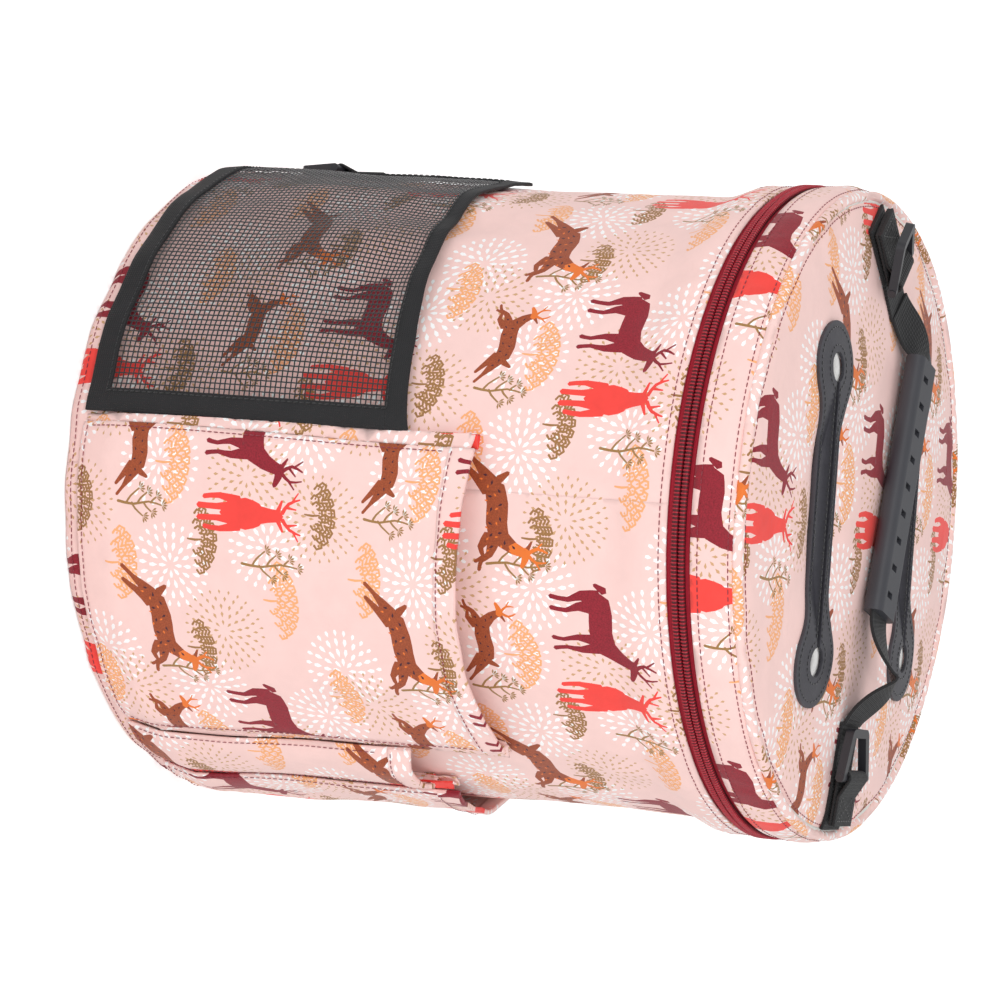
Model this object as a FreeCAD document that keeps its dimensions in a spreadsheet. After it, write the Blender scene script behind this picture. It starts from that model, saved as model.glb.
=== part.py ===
import FreeCAD, Part
import math
import os
import Sketcher

Vector = FreeCAD.Vector
Rotation = FreeCAD.Rotation
Placement = FreeCAD.Placement

# A soft drum-shaped carrier bag with a zipped, hinged lid. Millimetres, +Z up. The origin is the
# centre of the underside of the base. The front is -Y and the lid's hinge is at +Y.
# Angles round the drum are in degrees, counted from +X towards +Y.

DIMENSIONS = [
    # drum wall
    ("body_radius", 160.0, "outer face of the printed cloth wall"),
    ("cloth_thickness", 1.2, "printed polyester cloth"),
    ("foam_thickness", 4.6, "foam between cloth and lining"),
    ("lining_thickness", 1.0, "plain lining cloth"),
    ("layer_gap", 0.3, "room between two layers that lie on each other"),
    ("wire_thickness", 3.2, "plastic stiffening hoop in a rim"),
    ("base_cloth", 1.6, "coated cloth under the base"),
    ("board_thickness", 3.5, "stiff board in the base"),
    ("wall_top", 321.5, "top edge of the printed wall, below the zip"),
    # zip
    ("zip_gap", 12.0, "zip that shows between the wall and the lid"),
    ("coil_thickness", 3.2, "one zip coil, across"),
    ("coil_gap", 0.3, "room between the two coils"),
    ("tape_thickness", 0.8, "woven zip tape"),
    ("tape_width", 11.5, "tape of one side, from its coil into the seam"),
    ("hinge_half_angle", 20.0, "half of the cloth hinge, as an angle at the drum's axis"),
    ("parking_angle", 9.0, "part of the zip past the last upper coil, where the slider parks"),
    # lid
    ("lid_lean", 2.0, "how far the lid's rim stands inside the wall"),
    ("skirt_height", 23.5, "the lid's side band, from the zip to the rim"),
    ("dome_rise", 9.0, "height of the lid's middle over its rim"),
    ("piping_thickness", 3.2, "cloth-covered seam cord on the rim"),
    ("lid_foam_thickness", 5.0, "foam in the lid's top"),
    ("slot_offset", 65.0, "distance of a slot from the lid's middle"),
    ("slot_hole_spacing", 140.0, "between the two round ends of a slot"),
    ("slot_hole_radius", 7.5, "round end of a slot"),
    ("slit_width", 2.6, "cut between a slot's round ends"),
    ("trim_end_radius", 22.0, "rounded end of a slot's leather trim"),
    ("trim_neck", 26.0, "width of the trim along the slit"),
    ("trim_thickness", 1.6, "leather"),
    ("trim_blend", 40.0, "inside curve from the trim's neck to its ends"),
    # webbing and rings
    ("webbing_width", 25.0, "handle and ring webbing"),
    ("webbing_thickness", 1.6, "webbing"),
    ("anchor_offset", -9.0, "handle line in front of the lid's middle"),
    ("anchor_length", 50.0, "webbing sewn flat to the lid inside its rim"),
    ("tab_length", 26.0, "from the rim end of a ring tab to the ring's bar"),
    ("ring_bar", 4.2, "diameter of a ring's bar"),
    ("ring_margin", 13.0, "ring's bar is longer than the webbing is wide by this"),
    ("ring_taper", 16.0, "ring's far side is shorter than its bar by this"),
    ("ring_depth", 24.0, "from the bar's centre to the ring's outer edge"),
    ("ring_rod", 4.4, "width of the ring's moulded frame"),
    ("pivot_clearance", 0.08, "bar in its webbing fold"),
    ("low_ring_height", 52.0, "height of the low ring's bar"),
    ("low_ring_angle", 172.0, "place of the low ring round the drum"),
    # handle
    ("grip_length", 132.0, "moulded grip"),
    ("grip_width", 26.0, "moulded grip"),
    ("grip_thickness", 10.0, "moulded grip"),
    ("grip_corner", 4.6, "rounding along the grip"),
    ("grip_clearance", 1.0, "grip above the top of the lid"),
    ("grip_x", -15.5, "middle of the grip"),
    ("grip_y", 18.0, "middle of the grip"),
    ("grip_turn", -17.0, "the grip lies turned on the lid by this angle"),
    ("grip_slots", 9.0, "number of slots in the grip"),
    ("grip_slot_pitch", 14.0, "between two slots"),
    ("grip_slot_length", 7.0, "slot across the grip"),
    ("grip_slot_width", 3.2, "slot along the grip"),
    ("grip_slot_depth", 3.0, "slot"),
    # pockets
    ("pocket_seam", 0.3, "room between a pocket and the wall"),
    ("mesh_start", 180.0, "far edge of the mesh pocket"),
    ("mesh_sweep", 81.0, "mesh pocket round the drum"),
    ("mesh_bottom", 5.0, "mesh pocket"),
    ("mesh_top", 187.0, "mesh pocket"),
    ("mesh_room", 8.0, "room inside the mesh pocket"),
    ("mesh_thickness", 0.8, "mesh cloth"),
    ("binding_width", 12.0, "tape that binds the mesh"),
    ("front_start", -97.0, "front pocket's left edge"),
    ("front_sweep", 57.0, "front pocket round the drum"),
    ("front_bottom", 7.0, "front pocket"),
    ("front_top", 224.0, "front pocket"),
    ("front_room", 8.5, "room inside the front pocket"),
    ("tool_start", -38.0, "narrow pocket's left edge"),
    ("tool_sweep", 13.0, "narrow pocket round the drum"),
    ("tool_top", 172.0, "narrow pocket"),
    ("side_start", -23.0, "side pocket's left edge"),
    ("side_sweep", 38.0, "side pocket round the drum"),
    ("side_top", 184.0, "side pocket"),
    ("side_room", 7.5, "room inside the narrow and side pockets"),
    ("hem_height", 12.0, "folded hem of a pocket"),
    ("gusset_thickness", 2.0, "pleated side of a pocket"),
    # slider and pull
    ("slider_length", 14.0, "slider along the zip"),
    ("slider_height", 10.6, "slider across the zip"),
    ("slider_plate", 1.3, "slider's plates"),
    ("slider_clearance", 0.5, "slider to coil and tape"),
    ("pull_bar", 2.0, "pull's pivot bar"),
    ("pull_length", 30.0, "pull beyond its bar"),
    ("pull_width", 9.0, "pull"),
    ("pull_thickness", 2.2, "pull"),
    ("hinge_clearance", 3.5, "hinge line behind the zip"),
]

doc = FreeCAD.newDocument("DrumCarrier")
sheet = doc.addObject("Spreadsheet::Sheet", "dims")
for row, (name, value, note) in enumerate(DIMENSIONS, start=1):
    sheet.set(f"A{row}", name)
    sheet.set(f"B{row}", str(value))
    sheet.set(f"C{row}", note)
    sheet.setAlias(f"B{row}", name)
doc.recompute()


def size(name):
    """A driving or derived size as a number."""
    return float(sheet.evalExpression(dim(name)))


def dim(text):
    """Turn words such as 'body_radius - layer_gap' into an expression on the sheet."""
    words = text.replace("(", " ( ").replace(")", " ) ").split()
    for _ in range(2):
        words = [part for word in words for part in DERIVED.get(word, word).split()]
    names = {entry[0] for entry in DIMENSIONS}
    return " ".join(f"dims.{word}" if word in names else word for word in words)


# Sizes that follow from the driving ones.
DERIVED = {
    "lid_radius": "( body_radius - lid_lean )",
    "zip_height": "( wall_top + zip_gap / 2 )",
    "skirt_bottom": "( wall_top + zip_gap )",
    "rim_height": "( wall_top + zip_gap + skirt_height )",
    "ring_width": "( webbing_width + ring_margin )",
    "ring_nose": "( webbing_width + ring_margin - ring_taper )",
}


# Radii of the wall's layers, outside to inside, and heights that several pieces share.
CLOTH_INNER = "( body_radius - cloth_thickness )"
FOAM_OUTER = "( body_radius - cloth_thickness - layer_gap )"
FOAM_INNER = "( body_radius - cloth_thickness - layer_gap - foam_thickness )"
LINING_OUTER = "( body_radius - cloth_thickness - layer_gap * 2 - foam_thickness )"
LINING_INNER = "( body_radius - cloth_thickness - layer_gap * 2 - foam_thickness - lining_thickness )"
BOARD_BOTTOM = "( base_cloth + layer_gap )"
BOARD_TOP = "( base_cloth + layer_gap + board_thickness )"
FLOOR_BOTTOM = "( base_cloth + layer_gap * 2 + board_thickness )"
FLOOR_TOP = "( base_cloth + layer_gap * 2 + board_thickness + lining_thickness )"
COIL_RADIUS = "( body_radius - coil_thickness / 2 + 1 )"
TAPE_OUTER = "( body_radius - coil_thickness + 0.9 )"
TAPE_INNER = "( body_radius - coil_thickness + 0.9 - tape_thickness )"
COIL_OFFSET = "( coil_thickness / 2 + coil_gap / 2 )"
LOWER_TAPE_BOTTOM = "( zip_height - tape_width )"
UPPER_TAPE_TOP = "( zip_height + tape_width )"
ZIP_START = "( 90 + hinge_half_angle )"
ZIP_SWEEP = "( 360 - hinge_half_angle * 2 )"
WIRE_RADIUS = "( body_radius - cloth_thickness - layer_gap - foam_thickness + wire_thickness / 2 )"

pieces = []


def finished(item, label):
    item.Label = label
    pieces.append(item)
    return item


def set_place(item, bottom="0", start="0"):
    item.setExpression(
        "Placement",
        f"placement(vector(0; 0; {dim(bottom)}); rotation(vector(0; 0; 1); {dim(start)}))",
    )


def cylinder(name, radius, bottom, top, start="0", sweep="360"):
    item = doc.addObject("Part::Cylinder", name)
    item.setExpression("Radius", dim(radius))
    item.setExpression("Height", dim(f"( {top} ) - ( {bottom} )"))
    item.setExpression("Angle", dim(sweep))
    set_place(item, bottom, start)
    return item


def cone(name, low_radius, high_radius, bottom, top):
    item = doc.addObject("Part::Cone", name)
    item.setExpression("Radius1", dim(low_radius))
    item.setExpression("Radius2", dim(high_radius))
    item.setExpression("Height", dim(f"( {top} ) - ( {bottom} )"))
    set_place(item, bottom)
    return item


def cut(name, base, tool):
    item = doc.addObject("Part::Cut", name)
    item.Base = base
    item.Tool = tool
    return item


def fuse(name, shapes):
    item = doc.addObject("Part::MultiFuse", name)
    item.Shapes = shapes
    return item


def common(name, first, second):
    item = doc.addObject("Part::Common", name)
    item.Base = first
    item.Tool = second
    return item


def tube(name, inner, outer, bottom, top, start="0", sweep="360"):
    """A stretch of drum wall; a short sweep gives a patch of it."""
    outside = cylinder(f"{name}_outside", outer, bottom, top, start, sweep)
    inside = cylinder(f"{name}_inside", inner, bottom, top)
    return cut(f"{name}_tube", outside, inside)


def hoop(name, radius, thickness, height, start="0", sweep="360"):
    item = doc.addObject("Part::Torus", name)
    item.setExpression("Radius1", dim(radius))
    item.setExpression("Radius2", dim(f"( {thickness} ) / 2"))
    item.setExpression("Angle3", dim(sweep))
    set_place(item, height, start)
    return item


# ---------------------------------------------------------------- the drum

finished(tube("wall", CLOTH_INNER, "body_radius", "base_cloth + layer_gap", "wall_top"), "body_shell")
finished(tube("foam", FOAM_INNER, FOAM_OUTER, BOARD_BOTTOM, "zip_height - 14"), "body_foam")
finished(tube("lining", LINING_INNER, LINING_OUTER, FLOOR_BOTTOM, "wall_top"), "body_lining")
finished(cylinder("base_cloth_disc", "body_radius", "0", "base_cloth"), "base_panel")
finished(cylinder("board_disc", f"{FOAM_INNER} - layer_gap", BOARD_BOTTOM, BOARD_TOP), "base_board")
finished(cylinder("floor_disc", f"{LINING_INNER} - layer_gap", FLOOR_BOTTOM, FLOOR_TOP), "base_lining")
finished(hoop("wall_wire", WIRE_RADIUS, "wire_thickness", "zip_height - 13.8 + wire_thickness / 2"),
         "rim_wire_body")

# ---------------------------------------------------------------- the zip's lower half and the hinge

finished(tube("low_tape", TAPE_INNER, TAPE_OUTER, "zip_height - 8.5", "zip_height - 1.6",
              ZIP_START, ZIP_SWEEP), "zip_tape_lower")
finished(hoop("low_coil", COIL_RADIUS, "coil_thickness", f"zip_height - {COIL_OFFSET}",
              ZIP_START, ZIP_SWEEP), "zip_coil_lower")
finished(tube("low_hinge", TAPE_INNER, TAPE_OUTER, "zip_height - 8.5", "zip_height - coil_gap / 2",
              "90 - hinge_half_angle + 0.2", "hinge_half_angle * 2 - 0.4"), "hinge_strip_lower")

# ---------------------------------------------------------------- pockets on the wall

POCKET_INNER = "( body_radius + pocket_seam )"


def round_angle(length, radius):
    """Expression for the angle that a length takes on a radius."""
    return f"( ( {length} ) / ( {radius} ) * 180 / 3.14159265 )"


def pocket_gusset(label, start, sweep, bottom, top, room):
    """One strip of cloth: down one side of a pocket, across under it and up the other side."""
    outer = f"body_radius + {room}"
    width = round_angle("gusset_thickness", "body_radius")
    left = tube(f"{label}_left", POCKET_INNER, outer, bottom, top, start, width)
    right = tube(f"{label}_right", POCKET_INNER, outer, bottom, top, f"{start} + {sweep} - {width}", width)
    floor = tube(f"{label}_floor", POCKET_INNER, outer, bottom, f"{bottom} + gusset_thickness", start, sweep)
    finished(fuse(f"{label}_strip", [left, right, floor]), label)


def cloth_pocket(kind, start, sweep, bottom, top, room):
    panel_inner = f"( body_radius + {room} + layer_gap )"
    panel_outer = f"( body_radius + {room} + layer_gap + cloth_thickness )"
    hem_inner = f"( body_radius + {room} + layer_gap * 1.5 + cloth_thickness )"
    hem_outer = f"( body_radius + {room} + layer_gap * 1.5 + cloth_thickness + 0.8 )"
    finished(tube(f"{kind}_panel", panel_inner, panel_outer, bottom, top, start, sweep),
             f"{kind}_pocket_panel")
    finished(tube(f"{kind}_hem", hem_inner, hem_outer, f"{top} - hem_height", top, start, sweep),
             f"{kind}_pocket_hem")
    pocket_gusset(f"{kind}_pocket_gusset", start, sweep, bottom, f"{top} - hem_height", room)


cloth_pocket("front", "front_start", "front_sweep", "front_bottom", "front_top", "front_room")
cloth_pocket("tool", "tool_start", "tool_sweep", "front_bottom", "tool_top", "side_room")
cloth_pocket("side", "side_start", "side_sweep", "front_bottom", "side_top", "side_room")

MESH_INNER = "( body_radius + mesh_room )"
MESH_OUTER = "( body_radius + mesh_room + mesh_thickness )"
BINDING_OUTER = "( body_radius + mesh_room + mesh_thickness + 0.7 )"
BINDING_ANGLE = round_angle("binding_width", "body_radius")
MESH_LOW = "mesh_bottom + binding_width + layer_gap"
MESH_HIGH = "mesh_top - binding_width - layer_gap"
finished(tube("mesh", MESH_INNER, MESH_OUTER, MESH_LOW, MESH_HIGH,
              f"mesh_start + {BINDING_ANGLE} + 0.1", f"mesh_sweep - {BINDING_ANGLE} * 2 - 0.2"),
         "mesh_panel")
for side, place in (("left", "mesh_start"), ("right", f"mesh_start + mesh_sweep - {BINDING_ANGLE}")):
    finished(tube(f"binding_{side}", POCKET_INNER, BINDING_OUTER, MESH_LOW, MESH_HIGH,
                  place, BINDING_ANGLE), f"mesh_binding_{side}")
finished(tube("binding_bottom", POCKET_INNER, BINDING_OUTER, "mesh_bottom", "mesh_bottom + binding_width",
              "mesh_start", "mesh_sweep"), "mesh_binding_bottom")
finished(tube("binding_top", MESH_INNER, BINDING_OUTER, "mesh_top - binding_width", "mesh_top",
              "mesh_start", "mesh_sweep"), "mesh_binding_top")

# ---------------------------------------------------------------- the lid

DOME = "( ( lid_radius * lid_radius + dome_rise * dome_rise ) / ( dome_rise * 2 ) )"


def dome_solid(name, depth, radius):
    """Everything below the lid's top surface lowered by depth, inside a radius."""
    ball = doc.addObject("Part::Sphere", f"{name}_ball")
    ball.setExpression("Radius", dim(f"{DOME} - ( {depth} )"))
    set_place(ball, f"rim_height + dome_rise - {DOME}")
    drum = cylinder(f"{name}_drum", radius, "rim_height - 30", "rim_height + dome_rise + 10")
    return common(f"{name}_dome", ball, drum)


def slot_cutter(side):
    """The dog-bone opening of one slot: two round holes and the slit between them."""
    place = f"slot_offset * {side}"
    parts = []
    for end in (-1, 1):
        hole = doc.addObject("Part::Cylinder", "slot_hole")
        hole.setExpression("Radius", dim("slot_hole_radius"))
        hole.setExpression("Height", dim("dome_rise + 80"))
        hole.setExpression("Placement.Base.x", dim(f"slot_hole_spacing / 2 * {end}"))
        hole.setExpression("Placement.Base.y", dim(place))
        hole.setExpression("Placement.Base.z", dim("rim_height - 40"))
        parts.append(hole)
    slit = doc.addObject("Part::Box", "slit")
    slit.setExpression("Length", dim("slot_hole_spacing"))
    slit.setExpression("Width", dim("slit_width"))
    slit.setExpression("Height", dim("dome_rise + 80"))
    slit.setExpression("Placement.Base.x", dim("slot_hole_spacing / -2"))
    slit.setExpression("Placement.Base.y", dim(f"{place} - slit_width / 2"))
    slit.setExpression("Placement.Base.z", dim("rim_height - 40"))
    parts.append(slit)
    return fuse("slot_cutter", parts)


def dome_layer(label, depth, thickness, radius):
    """A curved sheet of the lid's top, with both slots cut through it."""
    upper = dome_solid(f"{label}_upper", depth, radius)
    lower = dome_solid(f"{label}_lower", f"{depth} + {thickness}", f"{radius} + 1")
    shell = cut(f"{label}_shell", upper, lower)
    cutters = fuse(f"{label}_slots", [slot_cutter(-1), slot_cutter(1)])
    finished(cut(f"{label}_sheet", shell, cutters), label)


PIPING_RADIUS = "( lid_radius + piping_thickness / 2 - 0.4 )"
dome_layer("lid_top_fabric", "0", "cloth_thickness", "lid_radius - piping_thickness / 2 - 0.8")
dome_layer("lid_foam", "cloth_thickness + layer_gap", "lid_foam_thickness", "lid_radius - 10.5")
dome_layer("lid_lining", "cloth_thickness + layer_gap * 2 + lid_foam_thickness", "lining_thickness",
           "lid_radius - 10.5")
finished(hoop("rim_cord", PIPING_RADIUS, "piping_thickness", "rim_height - piping_thickness / 2"), "lid_piping")


SKIRT_TOP = "( rim_height - piping_thickness - layer_gap * 2 )"


def skirt_layer(label, outside, thickness, bottom, top):
    """A band of the lid's side: it leans in from the zip to the rim."""
    slope = f"( lid_lean / ( {SKIRT_TOP} - skirt_bottom ) )"
    low = f"( body_radius - {slope} * ( {bottom} - skirt_bottom ) - ( {outside} ) )"
    high = f"( body_radius - {slope} * ( {top} - skirt_bottom ) - ( {outside} ) )"
    outer = cone(f"{label}_outer", low, high, bottom, top)
    inner = cone(f"{label}_inner", f"{low} - ( {thickness} )", f"{high} - ( {thickness} )", bottom, top)
    finished(cut(f"{label}_band", outer, inner), label)


skirt_layer("lid_skirt", "0", "cloth_thickness", "skirt_bottom", SKIRT_TOP)
skirt_layer("lid_skirt_foam", "cloth_thickness + layer_gap", "foam_thickness", "skirt_bottom + 6.5",
            "( rim_height - wire_thickness - layer_gap * 4 )")
skirt_layer("lid_skirt_lining", "cloth_thickness + layer_gap * 2 + foam_thickness", "lining_thickness",
            "skirt_bottom", SKIRT_TOP)
finished(hoop("lid_wire", f"{WIRE_RADIUS} - 1.4", "wire_thickness", "rim_height - wire_thickness / 2 - 0.8"),
         "rim_wire_lid")
finished(tube("high_tape", TAPE_INNER, TAPE_OUTER, "zip_height + 1.6", "zip_height + 8.5",
              f"{ZIP_START} ", f"{ZIP_SWEEP} - parking_angle"), "zip_tape_upper")
finished(hoop("high_coil", COIL_RADIUS, "coil_thickness", f"zip_height + {COIL_OFFSET}",
              f"{ZIP_START} ", f"{ZIP_SWEEP} - parking_angle"), "zip_coil_upper")
finished(tube("high_hinge", TAPE_INNER, TAPE_OUTER, "zip_height + coil_gap / 2", "zip_height + 8.5",
              "90 - hinge_half_angle + 0.2", "hinge_half_angle * 2 - 0.4"), "hinge_strip_upper")


def slot_trim(label, side):
    """Leather dog-bone round one slot, lying on the domed lid."""
    place = f"slot_offset * {side}"
    parts = []
    for end in (-1, 1):
        lobe = doc.addObject("Part::Cylinder", "trim_lobe")
        lobe.setExpression("Radius", dim("trim_end_radius"))
        lobe.setExpression("Height", dim("dome_rise + 40"))
        lobe.setExpression("Placement.Base.x", dim(f"slot_hole_spacing / 2 * {end}"))
        lobe.setExpression("Placement.Base.y", dim(place))
        lobe.setExpression("Placement.Base.z", dim("rim_height - 20"))
        parts.append(lobe)
    neck = doc.addObject("Part::Box", "trim_neck")
    neck.setExpression("Length", dim("slot_hole_spacing"))
    neck.setExpression("Width", dim("trim_neck"))
    neck.setExpression("Height", dim("dome_rise + 40"))
    neck.setExpression("Placement.Base.x", dim("slot_hole_spacing / -2"))
    neck.setExpression("Placement.Base.y", dim(f"{place} - trim_neck / 2"))
    neck.setExpression("Placement.Base.z", dim("rim_height - 20"))
    parts.append(neck)
    blank = fuse(f"{label}_blank", parts)
    doc.recompute()
    rounded = doc.addObject("Part::Fillet", f"{label}_rounded")
    rounded.Base = blank
    rounded.Edges = [(number, size("trim_blend"), size("trim_blend")) for number in neck_corners(blank.Shape, side)]
    upper = dome_solid(f"{label}_upper", "( layer_gap + trim_thickness ) * -1", "lid_radius")
    lower = dome_solid(f"{label}_lower", "layer_gap * -1", "lid_radius + 1")
    shell = cut(f"{label}_shell", upper, lower)
    outline = common(f"{label}_outline", shell, rounded)
    finished(cut(f"{label}_trim", outline, slot_cutter(side)), label)


def neck_corners(shape, side):
    """Numbers of the four upright edges where a trim's neck runs into its round ends."""
    numbers = []
    for number, edge in enumerate(shape.Edges, start=1):
        middle = edge.CenterOfMass
        upright = abs(edge.tangentAt(edge.FirstParameter).z) > 0.99
        on_neck = abs(abs(middle.y - side * size("slot_offset")) - size("trim_neck") / 2) < 0.01
        if upright and on_neck:
            numbers.append(number)
    return numbers


slot_trim("slot_trim_front", -1)
slot_trim("slot_trim_back", 1)

# ---------------------------------------------------------------- places on the domed lid

dome_radius = (size("lid_radius") ** 2 + size("dome_rise") ** 2) / (2 * size("dome_rise"))
dome_centre = Vector(0, 0, size("rim_height") + size("dome_rise") - dome_radius)


def lid_point(x, y, lift=0.0):
    """A point above the lid's surface, along the surface's normal."""
    height = dome_centre.z + math.sqrt(dome_radius ** 2 - x * x - y * y)
    surface = Vector(x, y, height)
    normal = (surface - dome_centre).normalize()
    return surface + normal * lift


def lid_place(x, y, turn, lift, tilt=0.0):
    """Local Z along the lid's normal, local X turned about it, then tilted about local Y."""
    point = lid_point(x, y, lift)
    normal = (point - dome_centre).normalize()
    lean = Rotation(Vector(0, 0, 1), normal)
    spin = Rotation(Vector(0, 0, 1), turn)
    nod = Rotation(Vector(0, 1, 0), -tilt)
    return Placement(point, lean * spin * nod)


def origin_plane(body, role):
    return [feature for feature in body.Origin.OriginFeatures if feature.Role == role][0]


def outline_sketch(body, name, role, corners):
    """A closed outline on one of a body's own planes; each corner is a pair of expressions."""
    sketch = body.newObject("Sketcher::SketchObject", name)
    sketch.AttachmentSupport = [(origin_plane(body, role), "")]
    sketch.MapMode = "FlatFace"
    values = [(size(x), size(y)) for x, y in corners]
    count = len(corners)
    for index in range(count):
        start = Vector(*values[index], 0)
        end = Vector(*values[(index + 1) % count], 0)
        sketch.addGeometry(Part.LineSegment(start, end))
    for index in range(count):
        sketch.addConstraint(Sketcher.Constraint("Coincident", index, 2, (index + 1) % count, 1))
    for index, (x, y) in enumerate(corners):
        for kind, text, value in (("DistanceX", x, values[index][0]), ("DistanceY", y, values[index][1])):
            if abs(value) < 1e-9:
                on_axis = -2 if kind == "DistanceX" else -1
                sketch.addConstraint(Sketcher.Constraint("PointOnObject", index, 1, on_axis))
                continue
            number = sketch.addConstraint(Sketcher.Constraint(kind, -1, 1, index, 1, value))
            sketch.setExpression(f"Constraints[{number}]", dim(text))
    return sketch


def new_body(label):
    body = doc.addObject("PartDesign::Body", f"{label}_body")
    return finished(body, label)


def fillet_edges(body, name, wanted, radius):
    """Round the edges of the body's tip that a test picks out."""
    base = body.Tip
    names = [f"Edge{number}" for number, edge in enumerate(base.Shape.Edges, start=1) if wanted(edge)]
    fillet = body.newObject("PartDesign::Fillet", name)
    fillet.Base = (base, names)
    fillet.setExpression("Radius", dim(radius))
    doc.recompute()
    return fillet


def flat_webbing(label, length):
    """A flat strip of webbing, its near end at the local origin, along +X."""
    strip = doc.addObject("Part::Box", f"{label}_strip")
    strip.setExpression("Length", dim(length))
    strip.setExpression("Width", dim("webbing_width"))
    strip.setExpression("Height", dim("webbing_thickness"))
    return strip


def box_place(place, back=0.0):
    """Placement of a strip's corner so that its middle line runs from the place."""
    corner = Vector(back, -size("webbing_width") / 2, 0)
    return place.multiply(Placement(corner, Rotation()))


def ring_tab(label, place, length):
    """Webbing folded round a ring's bar: the bar lies along local Y, the tab runs to local -X."""
    loop = doc.addObject("Part::Cylinder", f"{label}_loop")
    loop.setExpression("Radius", dim("ring_bar / 2 + pivot_clearance + webbing_thickness"))
    loop.setExpression("Height", dim("webbing_width"))
    loop.Placement = Placement(Vector(0, size("webbing_width") / 2, 0), Rotation(Vector(1, 0, 0), 90))
    flat = doc.addObject("Part::Box", f"{label}_flat")
    flat.setExpression("Length", dim(length))
    flat.setExpression("Width", dim("webbing_width"))
    flat.setExpression("Height", dim("webbing_thickness * 2"))
    flat.setExpression("Placement.Base.x", dim(f"( {length} ) * -1"))
    flat.setExpression("Placement.Base.y", dim("webbing_width / -2"))
    flat.setExpression("Placement.Base.z", dim("( ring_bar / 2 + pivot_clearance + webbing_thickness ) * -1"))
    blank = fuse(f"{label}_blank", [loop, flat])
    eye = doc.addObject("Part::Cylinder", f"{label}_eye")
    eye.setExpression("Radius", dim("ring_bar / 2 + pivot_clearance"))
    eye.setExpression("Height", dim("webbing_width + 2"))
    eye.Placement = Placement(Vector(0, size("webbing_width") / 2 + 1, 0), Rotation(Vector(1, 0, 0), 90))
    tab = cut(f"{label}_tab", blank, eye)
    tab.Placement = place
    finished(tab, label)


def ring(label, place):
    """Moulded ring: a round bar along local Y and a tapered frame towards local +X."""
    body = new_body(label)
    half = "ring_width / 2"
    nose = "ring_nose / 2"
    frame = outline_sketch(body, "frame", "XY_Plane", [
        ("0", f"{half} * -1"),
        ("ring_depth", f"{nose} * -1"),
        ("ring_depth", nose),
        ("0", half),
        ("0", f"{half} - ring_rod"),
        ("ring_depth - ring_rod", f"{nose} - ring_rod * 0.8"),
        ("ring_depth - ring_rod", f"( {nose} - ring_rod * 0.8 ) * -1"),
        ("0", f"( {half} - ring_rod ) * -1"),
    ])
    pad = body.newObject("PartDesign::Pad", "pad")
    pad.Profile = frame
    pad.setExpression("Length", dim("ring_bar"))
    pad.Midplane = True
    doc.recompute()

    def nose_corner(edge):
        middle = edge.CenterOfMass
        upright = abs(edge.tangentAt(edge.FirstParameter).z) > 0.99
        return upright and abs(middle.x - size("ring_depth")) < 0.01

    fillet_edges(body, "nose_rounding", nose_corner, "ring_rod")
    bar = outline_sketch(body, "bar", "XY_Plane", [
        ("0", f"{half} * -1"),
        ("ring_bar / 2", f"{half} * -1"),
        ("ring_bar / 2", half),
        ("0", half),
    ])
    turned = body.newObject("PartDesign::Revolution", "turned_bar")
    turned.Profile = bar
    turned.ReferenceAxis = (bar, ["V_Axis"])
    turned.Angle = 360
    doc.recompute()
    body.Placement = place


# ---------------------------------------------------------------- webbing and rings on the lid

TAB_HALF_HEIGHT = size("ring_bar") / 2 + size("pivot_clearance") + size("webbing_thickness")
tab_lift = size("layer_gap") * 3 + size("webbing_thickness") + TAB_HALF_HEIGHT
anchor_reach = size("lid_radius") - size("piping_thickness") / 2 - 3.5
anchor_y = size("anchor_offset")
LEFT_TURN = 38.0
RIGHT_TURN = 177.0

left_end = Vector(-math.sqrt(anchor_reach ** 2 - anchor_y ** 2) + 7, anchor_y, 0)
right_end = Vector(math.sqrt(anchor_reach ** 2 - anchor_y ** 2), anchor_y, 0)


def along(point, turn, distance):
    angle = math.radians(turn)
    return point + Vector(math.cos(angle), math.sin(angle), 0) * distance


def anchor(label, rim_end, turn):
    """Handle webbing sewn flat to the lid, from its rim inwards."""
    middle = along(rim_end, turn, size("anchor_length") / 2)
    strip = flat_webbing(label, "anchor_length")
    lift = size("layer_gap") * 2
    strip.Placement = box_place(lid_place(middle.x, middle.y, turn, lift), -size("anchor_length") / 2)
    finished(strip, label)


anchor("anchor_left", left_end, LEFT_TURN)
anchor("anchor_right", right_end, RIGHT_TURN)

left_bar = along(left_end, LEFT_TURN, size("tab_length") + 6)
right_bar = along(right_end, RIGHT_TURN, size("tab_length"))
ring_tab("ring_tab_left", lid_place(left_bar.x, left_bar.y, LEFT_TURN, tab_lift), "tab_length + 4")
ring_tab("ring_tab_right", lid_place(right_bar.x, right_bar.y, RIGHT_TURN, tab_lift), "tab_length - 2")
ring("d_ring_left", lid_place(left_bar.x, left_bar.y, LEFT_TURN + 180, tab_lift, 18.0))
ring("d_ring_right", lid_place(right_bar.x, right_bar.y, RIGHT_TURN, tab_lift, -3.0))

# The low ring hangs from a tab on the wall: the tab runs up the wall and the ring hangs below it.
low_angle = math.radians(size("low_ring_angle"))
low_radius = size("body_radius") + size("layer_gap") + TAB_HALF_HEIGHT
low_point = Vector(math.cos(low_angle) * low_radius, math.sin(low_angle) * low_radius, size("low_ring_height"))
down_the_wall = Rotation(Vector(0, 0, 1), size("low_ring_angle")).multiply(Rotation(Vector(0, 1, 0), 90))
ring_tab("ring_tab_low", Placement(low_point, down_the_wall), "tab_length")
ring("d_ring_low", Placement(low_point, down_the_wall))

# ---------------------------------------------------------------- handle

grip_turn = size("grip_turn")
grip_middle = Vector(size("grip_x"), size("grip_y"), 0)
grip_height = (size("rim_height") + size("dome_rise") + size("grip_clearance")
               + size("grip_thickness") / 2)

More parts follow.
